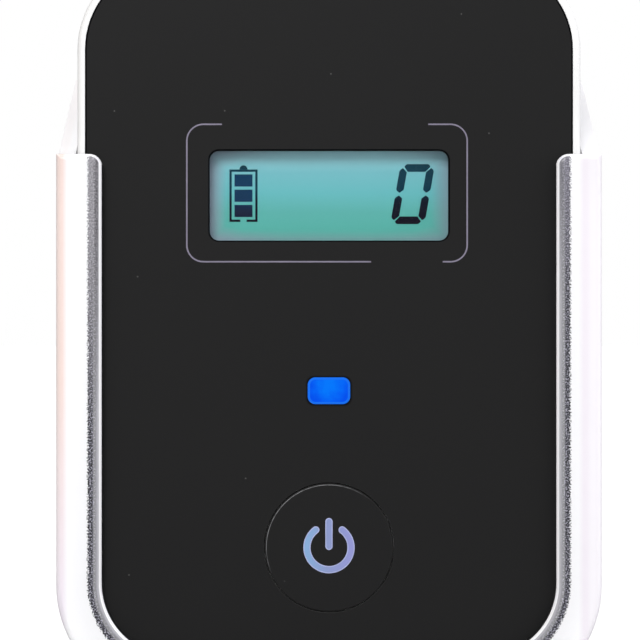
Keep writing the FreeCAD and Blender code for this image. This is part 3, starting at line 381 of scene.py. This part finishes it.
def lip_distance(finish, x, z):
    """How far a point of the lips is from their inner edge, round the window's lower corners too."""
    u = finish.maths("MAXIMUM", finish.maths("SUBTRACT", finish.maths("ABSOLUTE", x), LIP_EDGE - LIP_BEND))
    v = finish.maths("MAXIMUM", finish.maths("SUBTRACT", LIP_SILL + LIP_BEND, z))
    return finish.maths("SUBTRACT", finish.length(u, v), LIP_BEND)


def lip_rim(finish, inward, z):
    """How far a point of the lips is from their edge, round their top corners too."""
    below = finish.maths("SUBTRACT", LIP_TOP, z)
    u, v = [finish.maths("SUBTRACT", LIP_CORNER, step) for step in (inward, below)]
    past = finish.length(finish.maths("MAXIMUM", u), finish.maths("MAXIMUM", v))
    within = finish.maths("MINIMUM", finish.maths("MAXIMUM", u, v))
    return finish.maths("SUBTRACT", LIP_CORNER, finish.maths("ADD", past, within))


def lip_grain(finish, grain, x, height):
    """Grains of the lips over the panel: dark below, even and paler above, and cooler there on the right."""
    rough = finish.ramp(grain, [
        (0.37, (0.006, 0.006, 0.008)), (0.46, (0.04, 0.04, 0.05)), (0.54, (0.115, 0.115, 0.14)),
        (0.64, (0.43, 0.42, 0.50)),
    ])
    smooth = finish.ramp(grain, [
        (0.36, (0.20, 0.195, 0.21)), (0.50, (0.30, 0.29, 0.32)), (0.64, (0.44, 0.43, 0.47)),
    ])
    smooth = finish.blend(finish.span(x, -9, 9, 0.0, 0.35), smooth, (0.15, 0.14, 0.23))
    return finish.blend(height, rough, smooth)


def outer_tint(finish, x, z, behind, inside):
    """The lips' colour with a faint rose and lilac band along the holder's outer front edges."""
    rose = finish.ramp(finish.span(z, 12, 40), [(0.0, (0.86, 0.80, 0.88)), (1.0, (0.88, 0.71, 0.66))])
    pink = finish.blend(finish.span(x, -9, 9), rose, (0.84, 0.76, 0.85))
    side = finish.maths("ABSOLUTE", finish.maths("ADD", x, 0.75))
    share = finish.maths("MULTIPLY", finish.span(side, 32.2, 32.9), finish.span(side, 33.3, 33.8, 1.0, 0.6))
    share = finish.maths("MULTIPLY", share, finish.span(x, -9, 9, 1.0, 0.6))
    share = finish.maths("MULTIPLY", share, finish.span(behind, 0.0, 1.0, 1.0, 0.15))
    return finish.blend(share, inside, pink)


def holder_clear():
    """Clear moulded plastic with a painted highlight along the lips' rounded inner edge and round their top
    corners, milky beside it, grainy where they lie on the panel, and painted shadow on the lips' inner wall.
    """
    finish = Finish("holder_clear", (0.95, 0.95, 0.97), 0.05, IOR=1.42)
    x, y, z = finish.axes()

    # bands across the lips, from their inner edge outwards
    inward = lip_distance(finish, x, z)
    grain = finish.noise(0.21, 1, 0.6)
    uneven = finish.maths("MULTIPLY", finish.span(grain, 0.35, 0.65, -0.13, 0.13),
                          finish.span(inward, 0.6, 1.3))
    band = finish.maths("DIVIDE", finish.maths("ADD", inward, uneven), LIP_REACH)
    # the inner edge is fully milky white, a painted highlight of the rounded edge; a milky lilac band follows
    milk_and_edge_highlight = finish.ramp(band, [(0.0, 1.0), (0.115, 1.0), (0.155, 0.46), (0.29, 0.44), (0.42, 0.90)])
    lilac_and_highlight = finish.ramp(milk_and_edge_highlight, [(0.35, (0.86, 0.85, 0.95)), (0.6, (0.96, 0.96, 0.98))])
    # the painted highlight also runs round the lips' top corners
    rim = finish.span(lip_rim(finish, inward, z), 0.27, 0.36, 1.0, 0.0)
    tilted = finish.maths("SUBTRACT", z, finish.maths("MULTIPLY", x, 0.25))
    height = finish.span(tilted, LIP_TOP - 26, LIP_TOP - 2)
    above = finish.ramp(band, [(0.15, 0.0), (0.19, 1.0), (0.66, 1.0), (0.74, 0.0)])
    below = finish.ramp(band, [(0.20, 0.0), (0.45, 1.0), (0.66, 1.0), (0.74, 0.0)])
    on_panel = finish.maths("MULTIPLY", finish.blend(height, below, above),
                            finish.maths("SUBTRACT", 1.0, rim))

    # milkiness: the lips' front with its painted edge highlight, then the walls with their frosted top
    # corners, then the painted shadow on the lips' inner wall
    front = finish.maths("MAXIMUM", milk_and_edge_highlight, rim)
    ears = finish.maths("MULTIPLY", finish.span(finish.maths("ABSOLUTE", x), 28, 32),
                        finish.span(z, LIP_TOP - 6, LIP_TOP, 0.0, 0.85))
    wall = finish.maths("MAXIMUM", finish.span(finish.noise(9, 2), 0.3, 0.7, 0.08, 0.14), ears)
    behind = finish.span(y, HOLDER_FRONT + 0.75, HOLDER_FRONT + 1.1)
    share = finish.add("ShaderNodeMix", data_type="FLOAT")
    for socket, value in zip((share.inputs[0], share.inputs[2], share.inputs[3]), (behind, front, wall)):
        finish.feed(socket, value)
    # painted shadow: the lips' inner wall beside the panel is made opaque
    inner = finish.maths("MULTIPLY", finish.maths("LESS_THAN", inward, 0.03),
                         finish.maths("COMPARE", y, HOLDER_FRONT + 1.05, 0.7))
    opaque_share = finish.maths("MAXIMUM", share.outputs[0], inner)
    finish.to_skin("Transmission Weight", finish.maths("SUBTRACT", 1.0, opaque_share))
    finish.to_skin("Roughness", finish.span(opaque_share, 0.2, 0.9, 0.05, 0.35))

    grains = finish.maths("MULTIPLY", on_panel, finish.maths("SUBTRACT", 1.0, behind))
    tinted = outer_tint(finish, x, z, behind, lilac_and_highlight)
    speckled = finish.blend(grains, tinted, lip_grain(finish, grain, x, height))
    # painted shadow: near black on the lips' inner wall
    finish.to_skin("Base Color", finish.blend(inner, speckled, (0.004, 0.004, 0.005)))
    finish.bumpy(finish.noise(0.22, 2, 0.7), 0.12, 0.05)
    return finish.material


def window_clear():
    """Thin clear window: see-through with a faint gloss."""
    finish = Finish("window_clear", (0.02, 0.02, 0.02), 0.05, Specular_IOR_Level=0.25, Alpha=0.05)
    finish.bumpy(finish.noise(3), 0.01, 0.02)
    return finish.material


def display_teal():
    """Lit reflective display: blue green above, greener below, with a brighter band under its top edge and a
    paler, greyer rim, painted light against the shade of its recess.
    """
    finish = Finish("display_teal", (0.15, 0.41, 0.42), 0.5, Specular_IOR_Level=0.05)
    x, _, z = finish.axes()
    half = VIEW_HEIGHT / 2
    height = finish.span(z, DISPLAY_Z - half, DISPLAY_Z + half)
    # the top stops are brighter, painted light against the shade under the recess's top edge
    tone = finish.ramp(height, [
        (0.0, (0.16, 0.46, 0.42)), (0.10, (0.115, 0.51, 0.44)), (0.32, (0.125, 0.49, 0.45)),
        (0.54, (0.158, 0.55, 0.58)), (0.77, (0.21, 0.58, 0.64)), (0.87, (0.30, 0.68, 0.75)),
        (0.94, (0.42, 0.86, 0.94)), (1.0, (0.44, 0.90, 0.98)),
    ])
    side = finish.maths("SUBTRACT", VIEW_WIDTH / 2, finish.maths("ABSOLUTE", x))
    off_middle = finish.maths("ABSOLUTE", finish.maths("SUBTRACT", z, DISPLAY_Z))
    rim = finish.maths("MINIMUM", side, finish.maths("SUBTRACT", half, off_middle))
    # painted light: the rim is paler and greyer, most on the left, against the recess's shade
    wide = finish.span(side, 0, 4, 2.6, 1.5)
    painted_rim_light = finish.span(finish.maths("DIVIDE", rim, wide), 0.0, 1.0, 1.0, 0.0)
    painted_rim_light = finish.maths("MULTIPLY", painted_rim_light, finish.span(side, 0, 9, 0.95, 0.40))
    painted_rim_light = finish.maths("MULTIPLY", painted_rim_light, finish.span(x, -9, 9, 1.0, 0.7))
    finish.to_skin("Base Color", finish.blend(painted_rim_light, tone, (0.33, 0.40, 0.50)))
    finish.bumpy(finish.noise(0.4, 2), 0.02, 0.03)
    return finish.material


def display_ink(name, stops):
    """Dark segments of the display; each stop is a height up the digit, 0 to 1, and a colour."""
    finish = Finish(name, stops[-1][1], 0.6, Specular_IOR_Level=0.03)
    _, _, z = finish.axes()
    height = finish.span(z, DISPLAY_Z - DIGIT_REACH, DISPLAY_Z + DIGIT_REACH)
    finish.to_skin("Base Color", finish.ramp(height, stops))
    finish.bumpy(finish.noise(0.5, 2), 0.02, 0.02)
    return finish.material


def segment_ink():
    """Blue green where light comes from above, near black below."""
    return display_ink("display_ink", [
        (0.0, (0.009, 0.007, 0.015)), (0.42, (0.006, 0.010, 0.022)), (0.60, (0.006, 0.042, 0.072)),
        (1.0, (0.010, 0.055, 0.085)),
    ])


def battery_ink():
    """Deep blue, darker towards the lowest of the battery sign's cells."""
    return display_ink("battery_ink", [
        (0.0, (0.012, 0.016, 0.042)), (0.25, (0.012, 0.019, 0.048)), (0.45, (0.010, 0.040, 0.100)),
        (0.8, (0.008, 0.048, 0.115)),
    ])


def key_blue():
    """The small key, lit from behind by two diodes: brightest above its middle, with a paler rim."""
    finish = Finish("key_blue", (0.0, 0.0, 0.002), 0.4, Specular_IOR_Level=0.03)
    x, y, z = finish.axes()
    across = finish.maths("POWER", finish.maths("DIVIDE", finish.maths("ABSOLUTE", x), 2.6), 2.0)
    up = finish.maths("POWER", finish.maths("DIVIDE", finish.maths("SUBTRACT", z, MAX_Z + 0.6), 2.6), 2.0)
    glow = finish.span(finish.maths("ADD", across, up), 0.0, 1.0, 1.0, 0.0)
    glow = finish.maths("ADD", glow, finish.span(finish.noise(1.0, 2), 0.3, 0.7, -0.2, 0.2))
    light = finish.ramp(glow, [
        (0.0, (0.0, 0.085, 0.88)), (0.5, (0.0, 0.125, 0.95)), (1.0, (0.0, 0.19, 1.0)),
    ])
    rim = finish.span(y, PANEL_FRONT + 0.01, PANEL_FRONT + 0.04)
    finish.to_skin("Emission Color", finish.blend(rim, light, (0.012, 0.17, 0.90)))
    finish.skin.inputs["Emission Strength"].default_value = 0.97
    finish.bumpy(finish.noise(0.25, 1), 0.03, 0.03)
    return finish.material


def print_ink(name, color, shade=0.12):
    """Screen printed ink, slightly uneven."""
    finish = Finish(name, color, 0.5, Specular_IOR_Level=0.25)
    dark = tuple(part * (1 - shade) for part in color)
    finish.to_skin("Base Color", finish.ramp(finish.noise(2.0, 3), [(0.35, dark), (0.65, color)]))
    finish.bumpy(finish.noise(0.2, 1), 0.05, 0.02)
    return finish.material


def power_ink():
    """The power mark's ink: bluer on the left and more violet on the right."""
    finish = Finish("power_ink", (0.24, 0.30, 0.55), 0.5, Specular_IOR_Level=0.25)
    x, _, _ = finish.axes()
    finish.to_skin("Base Color", finish.ramp(finish.span(x, -4, 4), [
        (0.15, (0.22, 0.38, 0.63)), (0.45, (0.24, 0.30, 0.54)), (0.9, (0.27, 0.28, 0.60)),
    ]))
    finish.bumpy(finish.noise(0.2, 1), 0.05, 0.02)
    return finish.material


def board_green():
    """Solder resist over a grid of copper tracks."""
    finish = Finish("board_green", (0.01, 0.12, 0.05), 0.35)
    cells = finish.add("ShaderNodeTexBrick")
    cells.inputs["Scale"].default_value = 260
    cells.inputs["Mortar Size"].default_value = 0.035
    finish.tree.links.new(finish.place, cells.inputs["Vector"])
    resist, track = (0.008, 0.11, 0.045), (0.02, 0.20, 0.08)
    finish.to_skin("Base Color", finish.blend(cells.outputs["Fac"], resist, track))
    finish.bumpy(cells.outputs["Fac"], 0.3, 0.03)
    return finish.material


def cell_sleeve():
    """Battery cells: a dark sleeve with a copper band at the plus end and steel ends."""
    finish = Finish("cell_sleeve", (0.02, 0.02, 0.025), 0.3, Specular_IOR_Level=0.5)
    x, _, z = finish.axes()
    low, middle, high = [at("battery_cells", z=share)[2] for share in (0, 0.5, 1)]
    side = finish.maths("SIGN", x)
    toward_plus = finish.maths("MULTIPLY", finish.maths("SUBTRACT", middle, z), side)
    half = (high - low) / 2
    place = finish.span(toward_plus, -half, half)
    finish.to_skin("Base Color", finish.ramp(place, [
        (0.0, (0.6, 0.6, 0.6)), (0.055, (0.6, 0.6, 0.6)), (0.06, (0.02, 0.022, 0.03)),
        (0.72, (0.02, 0.022, 0.03)), (0.725, (0.55, 0.30, 0.12)), (0.94, (0.55, 0.30, 0.12)),
        (0.945, (0.65, 0.65, 0.65)),
    ]))
    steel = finish.maths("GREATER_THAN", finish.maths("ABSOLUTE", toward_plus), half * 0.89)
    finish.to_skin("Metallic", steel)
    finish.bumpy(finish.noise(2, 2), 0.03, 0.03)
    return finish.material


# ---------------------------------------------------------------- flat prints

def plain_mesh(thing, name):
    """Turn a curve or a modified object into a plain mesh object at the origin."""
    shapes = bpy.context.evaluated_depsgraph_get()
    data = bpy.data.meshes.new_from_object(thing.evaluated_get(shapes))
    data.name = name
    bpy.data.objects.remove(thing)
    result = bpy.data.objects.new(name, data)
    bpy.context.scene.collection.objects.link(result)
    return result


def tidy(piece):
    """Merge doubles and point the faces outwards."""
    work = bmesh.new()
    work.from_mesh(piece.data)
    bmesh.ops.remove_doubles(work, verts=work.verts, dist=1e-7)
    bmesh.ops.recalc_face_normals(work, faces=work.faces)
    work.to_mesh(piece.data)
    work.free()


def stamp(name, loops, front, rise, body, finish):
    """A thin flat print: closed outlines seen from the front (x, z), standing off by its rise."""
    curve = bpy.data.curves.new(name, "CURVE")
    curve.dimensions = "2D"
    curve.fill_mode = "BOTH"
    curve.extrude = rise / 2 * MM
    for loop in loops:
        line = curve.splines.new("POLY")
        line.points.add(len(loop) - 1)
        for point, (x, z) in zip(line.points, loop):
            point.co = (x * MM, z * MM, 0, 1)
        line.use_cyclic_u = True
    thing = bpy.data.objects.new(name + "_curve", curve)
    bpy.context.scene.collection.objects.link(thing)
    bpy.context.view_layer.update()
    piece = plain_mesh(thing, name)
    for vertex in piece.data.vertices:
        x, z, depth = vertex.co
        vertex.co = (x, (front - rise / 2) * MM - depth, z)
    tidy(piece)
    piece.data.materials.clear()
    piece.data.materials.append(finish)
    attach(piece, body)
    return piece


def arc_points(cx, cz, radius, start, end, steps=12):
    """Points on an arc; the angles are degrees from +X towards +Z."""
    points = []
    for index in range(steps + 1):
        angle = math.radians(start + (end - start) * index / steps)
        points.append((cx + radius * math.cos(angle), cz + radius * math.sin(angle)))
    return points


def ribbon(centre, width):
    """The outline of a line of even width with square ends along centre points."""
    left, right = [], []
    for index, (x, z) in enumerate(centre):
        before = centre[max(index - 1, 0)]
        after = centre[min(index + 1, len(centre) - 1)]
        dx, dz = after[0] - before[0], after[1] - before[1]
        length = math.hypot(dx, dz)
        nx, nz = -dz / length * width / 2, dx / length * width / 2
        left.append((x + nx, z + nz))
        right.append((x - nx, z - nz))
    return left + right[::-1]


def add_frame_line(finish):
    """The thin line round the display, broken at its top and at its lower right."""
    half, bend, width = 17.8, 2.1, 0.19
    shift = -0.25
    top, base = DISPLAY_Z + 9.05, DISPLAY_Z - 8.4
    left = [(-13.6, top)] + arc_points(shift - half + bend, top - bend, bend, 90, 180)
    left += arc_points(shift - half + bend, base + bend, bend, 180, 270) + [(5.35, base)]
    right = [(14.45, base)] + arc_points(shift + half - bend, base + bend, bend, 270, 360)
    right += arc_points(shift + half - bend, top - bend, bend, 0, 90) + [(12.6, top)]
    loops = [ribbon(left, width), ribbon(right, width)]
    stamp("display_frame_line", loops, PANEL_FRONT, 0.02, "monitor", finish)


def power_loops(stroke):
    """The broken ring and the bar, with round ends."""
    radius, gap, reach = 2.80, 36.7, 0.92
    start, end = 90 + gap, 450 - gap
    outer = arc_points(0, POWER_Z, radius + stroke / 2, start, end, 64)
    inner = arc_points(0, POWER_Z, radius - stroke / 2, end, start, 64)
    caps = []
    for angle, turn in ((end, 0), (start, 180)):
        x = radius * math.cos(math.radians(angle))
        z = POWER_Z + radius * math.sin(math.radians(angle))
        caps.append(arc_points(x, z, stroke / 2, angle + turn, angle + turn + 180, 10)[1:-1])
    low, high = POWER_Z - 0.30 + reach / 2, POWER_Z + 3.76 - reach / 2
    bar = arc_points(0, high, stroke / 2, 0, 180) + arc_points(0, low, stroke / 2, 180, 360)
    return [outer + caps[0] + inner + caps[1], bar]


def add_power_mark():
    """The power mark on the round key: a pale outline with the ink on it."""
    edge = print_ink("power_edge", (0.42, 0.46, 0.72))
    stamp("power_mark_edge", power_loops(0.92), PANEL_FRONT, 0.012, "power_key", edge)
    stamp("power_mark", power_loops(0.68), PANEL_FRONT - 0.012, 0.012, "power_key", power_ink())


def lean(points, base, slope):
    """Lean points to the right as they rise."""
    return [(x + (z - base) * slope, z) for x, z in points]


def digit_loops():
    """The six lit segments of the digit, with mitred ends and thin gaps between them."""
    width, height, stroke, slope = 4.40, 7.66, 0.97, 0.175
    base, left = DISPLAY_Z - 3.52, 7.84
    flat = [(0.55, 0.36), (0.62, 0.18), (0.84, 0), (width - 0.84, 0), (width - 0.62, 0.18),
            (width - 0.55, 0.36), (width - 1.07, stroke), (1.07, stroke)]
    tall = [(0, 0.92), (0.12, 0.70), (0.40, 0.50), (stroke, 1.02), (stroke, 3.27), (0.50, 3.66),
            (0.12, 3.42), (0, 3.20)]
    loops = []
    for upper in (False, True):
        ends = [flat, tall, [(width - px, pz) for px, pz in tall]]
        for end in ends:
            loops.append([(left + px, base + (height - pz if upper else pz)) for px, pz in end])
    return [lean(loop, base, slope) for loop in loops]


def add_display_marks():
    """The digit and the battery sign on the display."""
    ink = segment_ink()
    stamp("display_digit", digit_loops(), GLASS_FRONT, 0.03, "monitor", ink)
    middle, low, width, height, line, slit = -10.93, DISPLAY_Z - 3.24, 3.60, 6.70, 0.29, 0.40
    outer, inner = width / 2, width / 2 - line
    top = low + height
    loops = [[
        (middle + slit, low), (middle + outer, low), (middle + outer, top), (middle - outer, top),
        (middle - outer, low), (middle - slit, low), (middle - slit, low + line), (middle - inner, low + line),
        (middle - inner, top - line), (middle + inner, top - line), (middle + inner, low + line),
        (middle + slit, low + line),
    ], arc_points(middle, top + 0.01, 0.52, 0, 180, 10)]
    stamp("display_battery", loops, GLASS_FRONT, 0.03, "monitor", ink)
    wide, tall, spacing = 2.30, 1.55, 1.95
    cells = []
    for index in range(3):
        base = low + 0.62 + index * spacing
        cells.append([(middle - wide / 2, base), (middle + wide / 2, base),
                      (middle + wide / 2, base + tall), (middle - wide / 2, base + tall)])
    stamp("display_battery_cells", cells, GLASS_FRONT, 0.03, "monitor", battery_ink())


# ---------------------------------------------------------------- screws

class Tree:
    """A geometry node tree with named inputs."""

    def __init__(self, name):
        self.tree = bpy.data.node_groups.new(name, "GeometryNodeTree")
        self.tree.interface.new_socket("Geometry", in_out="OUTPUT", socket_type="NodeSocketGeometry")
        self.end = self.tree.nodes.new("NodeGroupOutput")

    def inputs(self, names):
        for name in names:
            self.tree.interface.new_socket(name, in_out="INPUT", socket_type="NodeSocketFloat")
        start = self.tree.nodes.new("NodeGroupInput")
        return [start.outputs[name] for name in names]

    def add(self, kind, **values):
        node = self.tree.nodes.new(kind)
        for key, value in values.items():
            socket = node.inputs[key.replace("_", " ")]
            if hasattr(value, "links"):
                self.tree.links.new(value, socket)
            else:
                socket.default_value = value
        return node

    def times(self, value, factor):
        node = self.tree.nodes.new("ShaderNodeMath")
        node.operation = "MULTIPLY"
        self.tree.links.new(value, node.inputs[0])
        node.inputs[1].default_value = factor
        return node.outputs[0]

    def vector(self, x=0.0, y=0.0, z=0.0):
        return self.add("ShaderNodeCombineXYZ", X=x, Y=y, Z=z).outputs[0]

    def lift(self, part, height):
        """Move a part along Z."""
        return self.add("GeometryNodeTransform", Geometry=part, Translation=self.vector(z=height)).outputs[0]

    def join(self, parts):
        node = self.tree.nodes.new("GeometryNodeJoinGeometry")
        for part in parts:
            self.tree.links.new(part, node.inputs[0])
        return node.outputs[0]


def screw_tree(finish):
    """Four cross head screws on a grid, heads towards +Z."""
    tree = Tree("screw_set")
    across, up, radius, height, shank, length = tree.inputs(
        ("Across", "Up", "Head Radius", "Head Height", "Shank Radius", "Shank Length"))
    rings = []
    for wide, rise in ((1.0, 0.0), (1.0, 0.42), (0.95, 0.66), (0.82, 0.84), (0.60, 0.95), (0.30, 1.0)):
        ring = tree.add("GeometryNodeMeshCircle", Vertices=48, Radius=tree.times(radius, wide))
        rings.append(tree.lift(ring.outputs[0], tree.times(height, rise)))
    dome = tree.add("GeometryNodeConvexHull", Geometry=tree.join(rings)).outputs[0]
    cut = tree.tree.nodes.new("GeometryNodeMeshBoolean")
    cut.operation = "DIFFERENCE"
    cut.solver = "EXACT"
    tree.tree.links.new(dome, cut.inputs["Mesh 1"])
    for long_way, short_way in ((1.24, 0.28), (0.28, 1.24)):
        size = tree.vector(tree.times(radius, long_way), tree.times(radius, short_way),
                           tree.times(height, 0.9))
        arm = tree.add("GeometryNodeMeshCube", Size=size)
        tree.tree.links.new(tree.lift(arm.outputs[0], height), cut.inputs["Mesh 2"])
    stem = tree.add("GeometryNodeMeshCylinder", Vertices=32, Radius=shank, Depth=length)
    stem = tree.lift(stem.outputs[0], tree.times(length, -0.5))
    grid = tree.add("GeometryNodeMeshGrid", Size_X=across, Size_Y=up, Vertices_X=2, Vertices_Y=2)
    spots = tree.add("GeometryNodeInstanceOnPoints", Points=grid.outputs[0],
                     Instance=tree.join([cut.outputs[0], stem]))
    real = tree.add("GeometryNodeRealizeInstances", Geometry=spots.outputs[0])
    painted = tree.add("GeometryNodeSetMaterial", Geometry=real.outputs[0], Material=finish)
    tree.tree.links.new(painted.outputs[0], tree.end.inputs[0])
    return tree.tree


def add_case_screws(finish):
    """The four case screws with domed cross heads, in place of the plain ones."""
    low, high = [[value / MM for value in corner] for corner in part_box("case_screws")]
    sizes = {
        "Across": high[0] - low[0] - 2 * SCREW_HEAD, "Up": high[2] - low[2] - 2 * SCREW_HEAD,
        "Head Radius": SCREW_HEAD, "Head Height": SCREW_HEAD_THICK, "Shank Radius": SCREW_SHANK,
        "Shank Length": high[1] - low[1] - SCREW_HEAD_THICK,
    }
    tree = screw_tree(finish)
    thing = bpy.data.objects.new("screw_points", bpy.data.meshes.new("screw_points"))
    bpy.context.scene.collection.objects.link(thing)
    change = thing.modifiers.new("screws", "NODES")
    change.node_group = tree
    for item in tree.interface.items_tree:
        if item.in_out == "INPUT":
            change[item.identifier] = sizes[item.name] * MM
    bpy.context.view_layer.update()
    piece = plain_mesh(thing, "dressed_case_screws")
    seat = high[1] - SCREW_HEAD_THICK
    middle = (low[2] + high[2]) / 2
    for vertex in piece.data.vertices:
        x, up, out = vertex.co
        vertex.co = (-x, seat * MM + out, middle * MM + up)
    tidy(piece)
    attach(piece, "monitor")
    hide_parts("case_screws")


# ---------------------------------------------------------------- dressing

def dress(finish, *names):
    """Give CAD nodes a material."""
    for name in names:
        slots = nodes[name].data.materials
        slots.clear()
        slots.append(finish)


def dress_nodes():
    """Materials of all the CAD nodes."""
    dress(holder_clear(), "holder")
    dress(moulded("case_white", (0.86, 0.86, 0.855)), "front_shell", "rear_shell", "battery_door")
    dress(panel_black(), "front_panel")
    dress(key_black(), "power_button")
    dress(moulded("tape_grey", (0.08, 0.08, 0.08), 0.7), "panel_tape")
    dress(window_clear(), "display_pane")
    dress(display_teal(), "lcd_glass")
    dress(moulded("inner_white", (0.78, 0.78, 0.76)), "lcd_carrier", "light_guide", "power_button_stem",
          "max_button_stem")
    dress(moulded("zebra_rubber", (0.16, 0.16, 0.17), 0.8), "zebra_strips")
    dress(moulded("foam_black", (0.03, 0.03, 0.03), 0.9, grain=0.5, depth=0.6), "sensor_gasket",
          "sounder_gasket")
    dress(moulded("diode_amber", (0.85, 0.75, 0.35), 0.25), "backlight_diodes", "blue_diodes")
    dress(key_blue(), "max_button")
    dress(moulded("chip_black", (0.02, 0.02, 0.021), 0.5), "power_switch", "max_switch", "controller")
    dress(moulded("ceramic_tan", (0.35, 0.26, 0.18), 0.5), "chip_parts")
    dress(moulded("sounder_black", (0.025, 0.025, 0.027), 0.45), "sounder")
    dress(board_green(), "main_board")
    dress(moulded("sensor_grey", (0.55, 0.55, 0.53), 0.5), "gas_sensor")
    dress(metal("pin_gold", (0.90, 0.70, 0.35)), "sensor_pins")
    dress(cell_sleeve(), "battery_cells")
    dress(metal("plated_steel", (0.72, 0.72, 0.70)), "battery_springs", "battery_contacts", "crystal",
          "board_screws", "case_screws")


def main():
    """Build the scene."""
    add_camera()
    add_studio()
    dress_nodes()
    add_frame_line(print_ink("frame_ink", (0.22, 0.20, 0.27)))
    add_power_mark()
    add_display_marks()
    add_case_screws(metal("screw_zinc", (0.70, 0.70, 0.68), 0.28))


main()
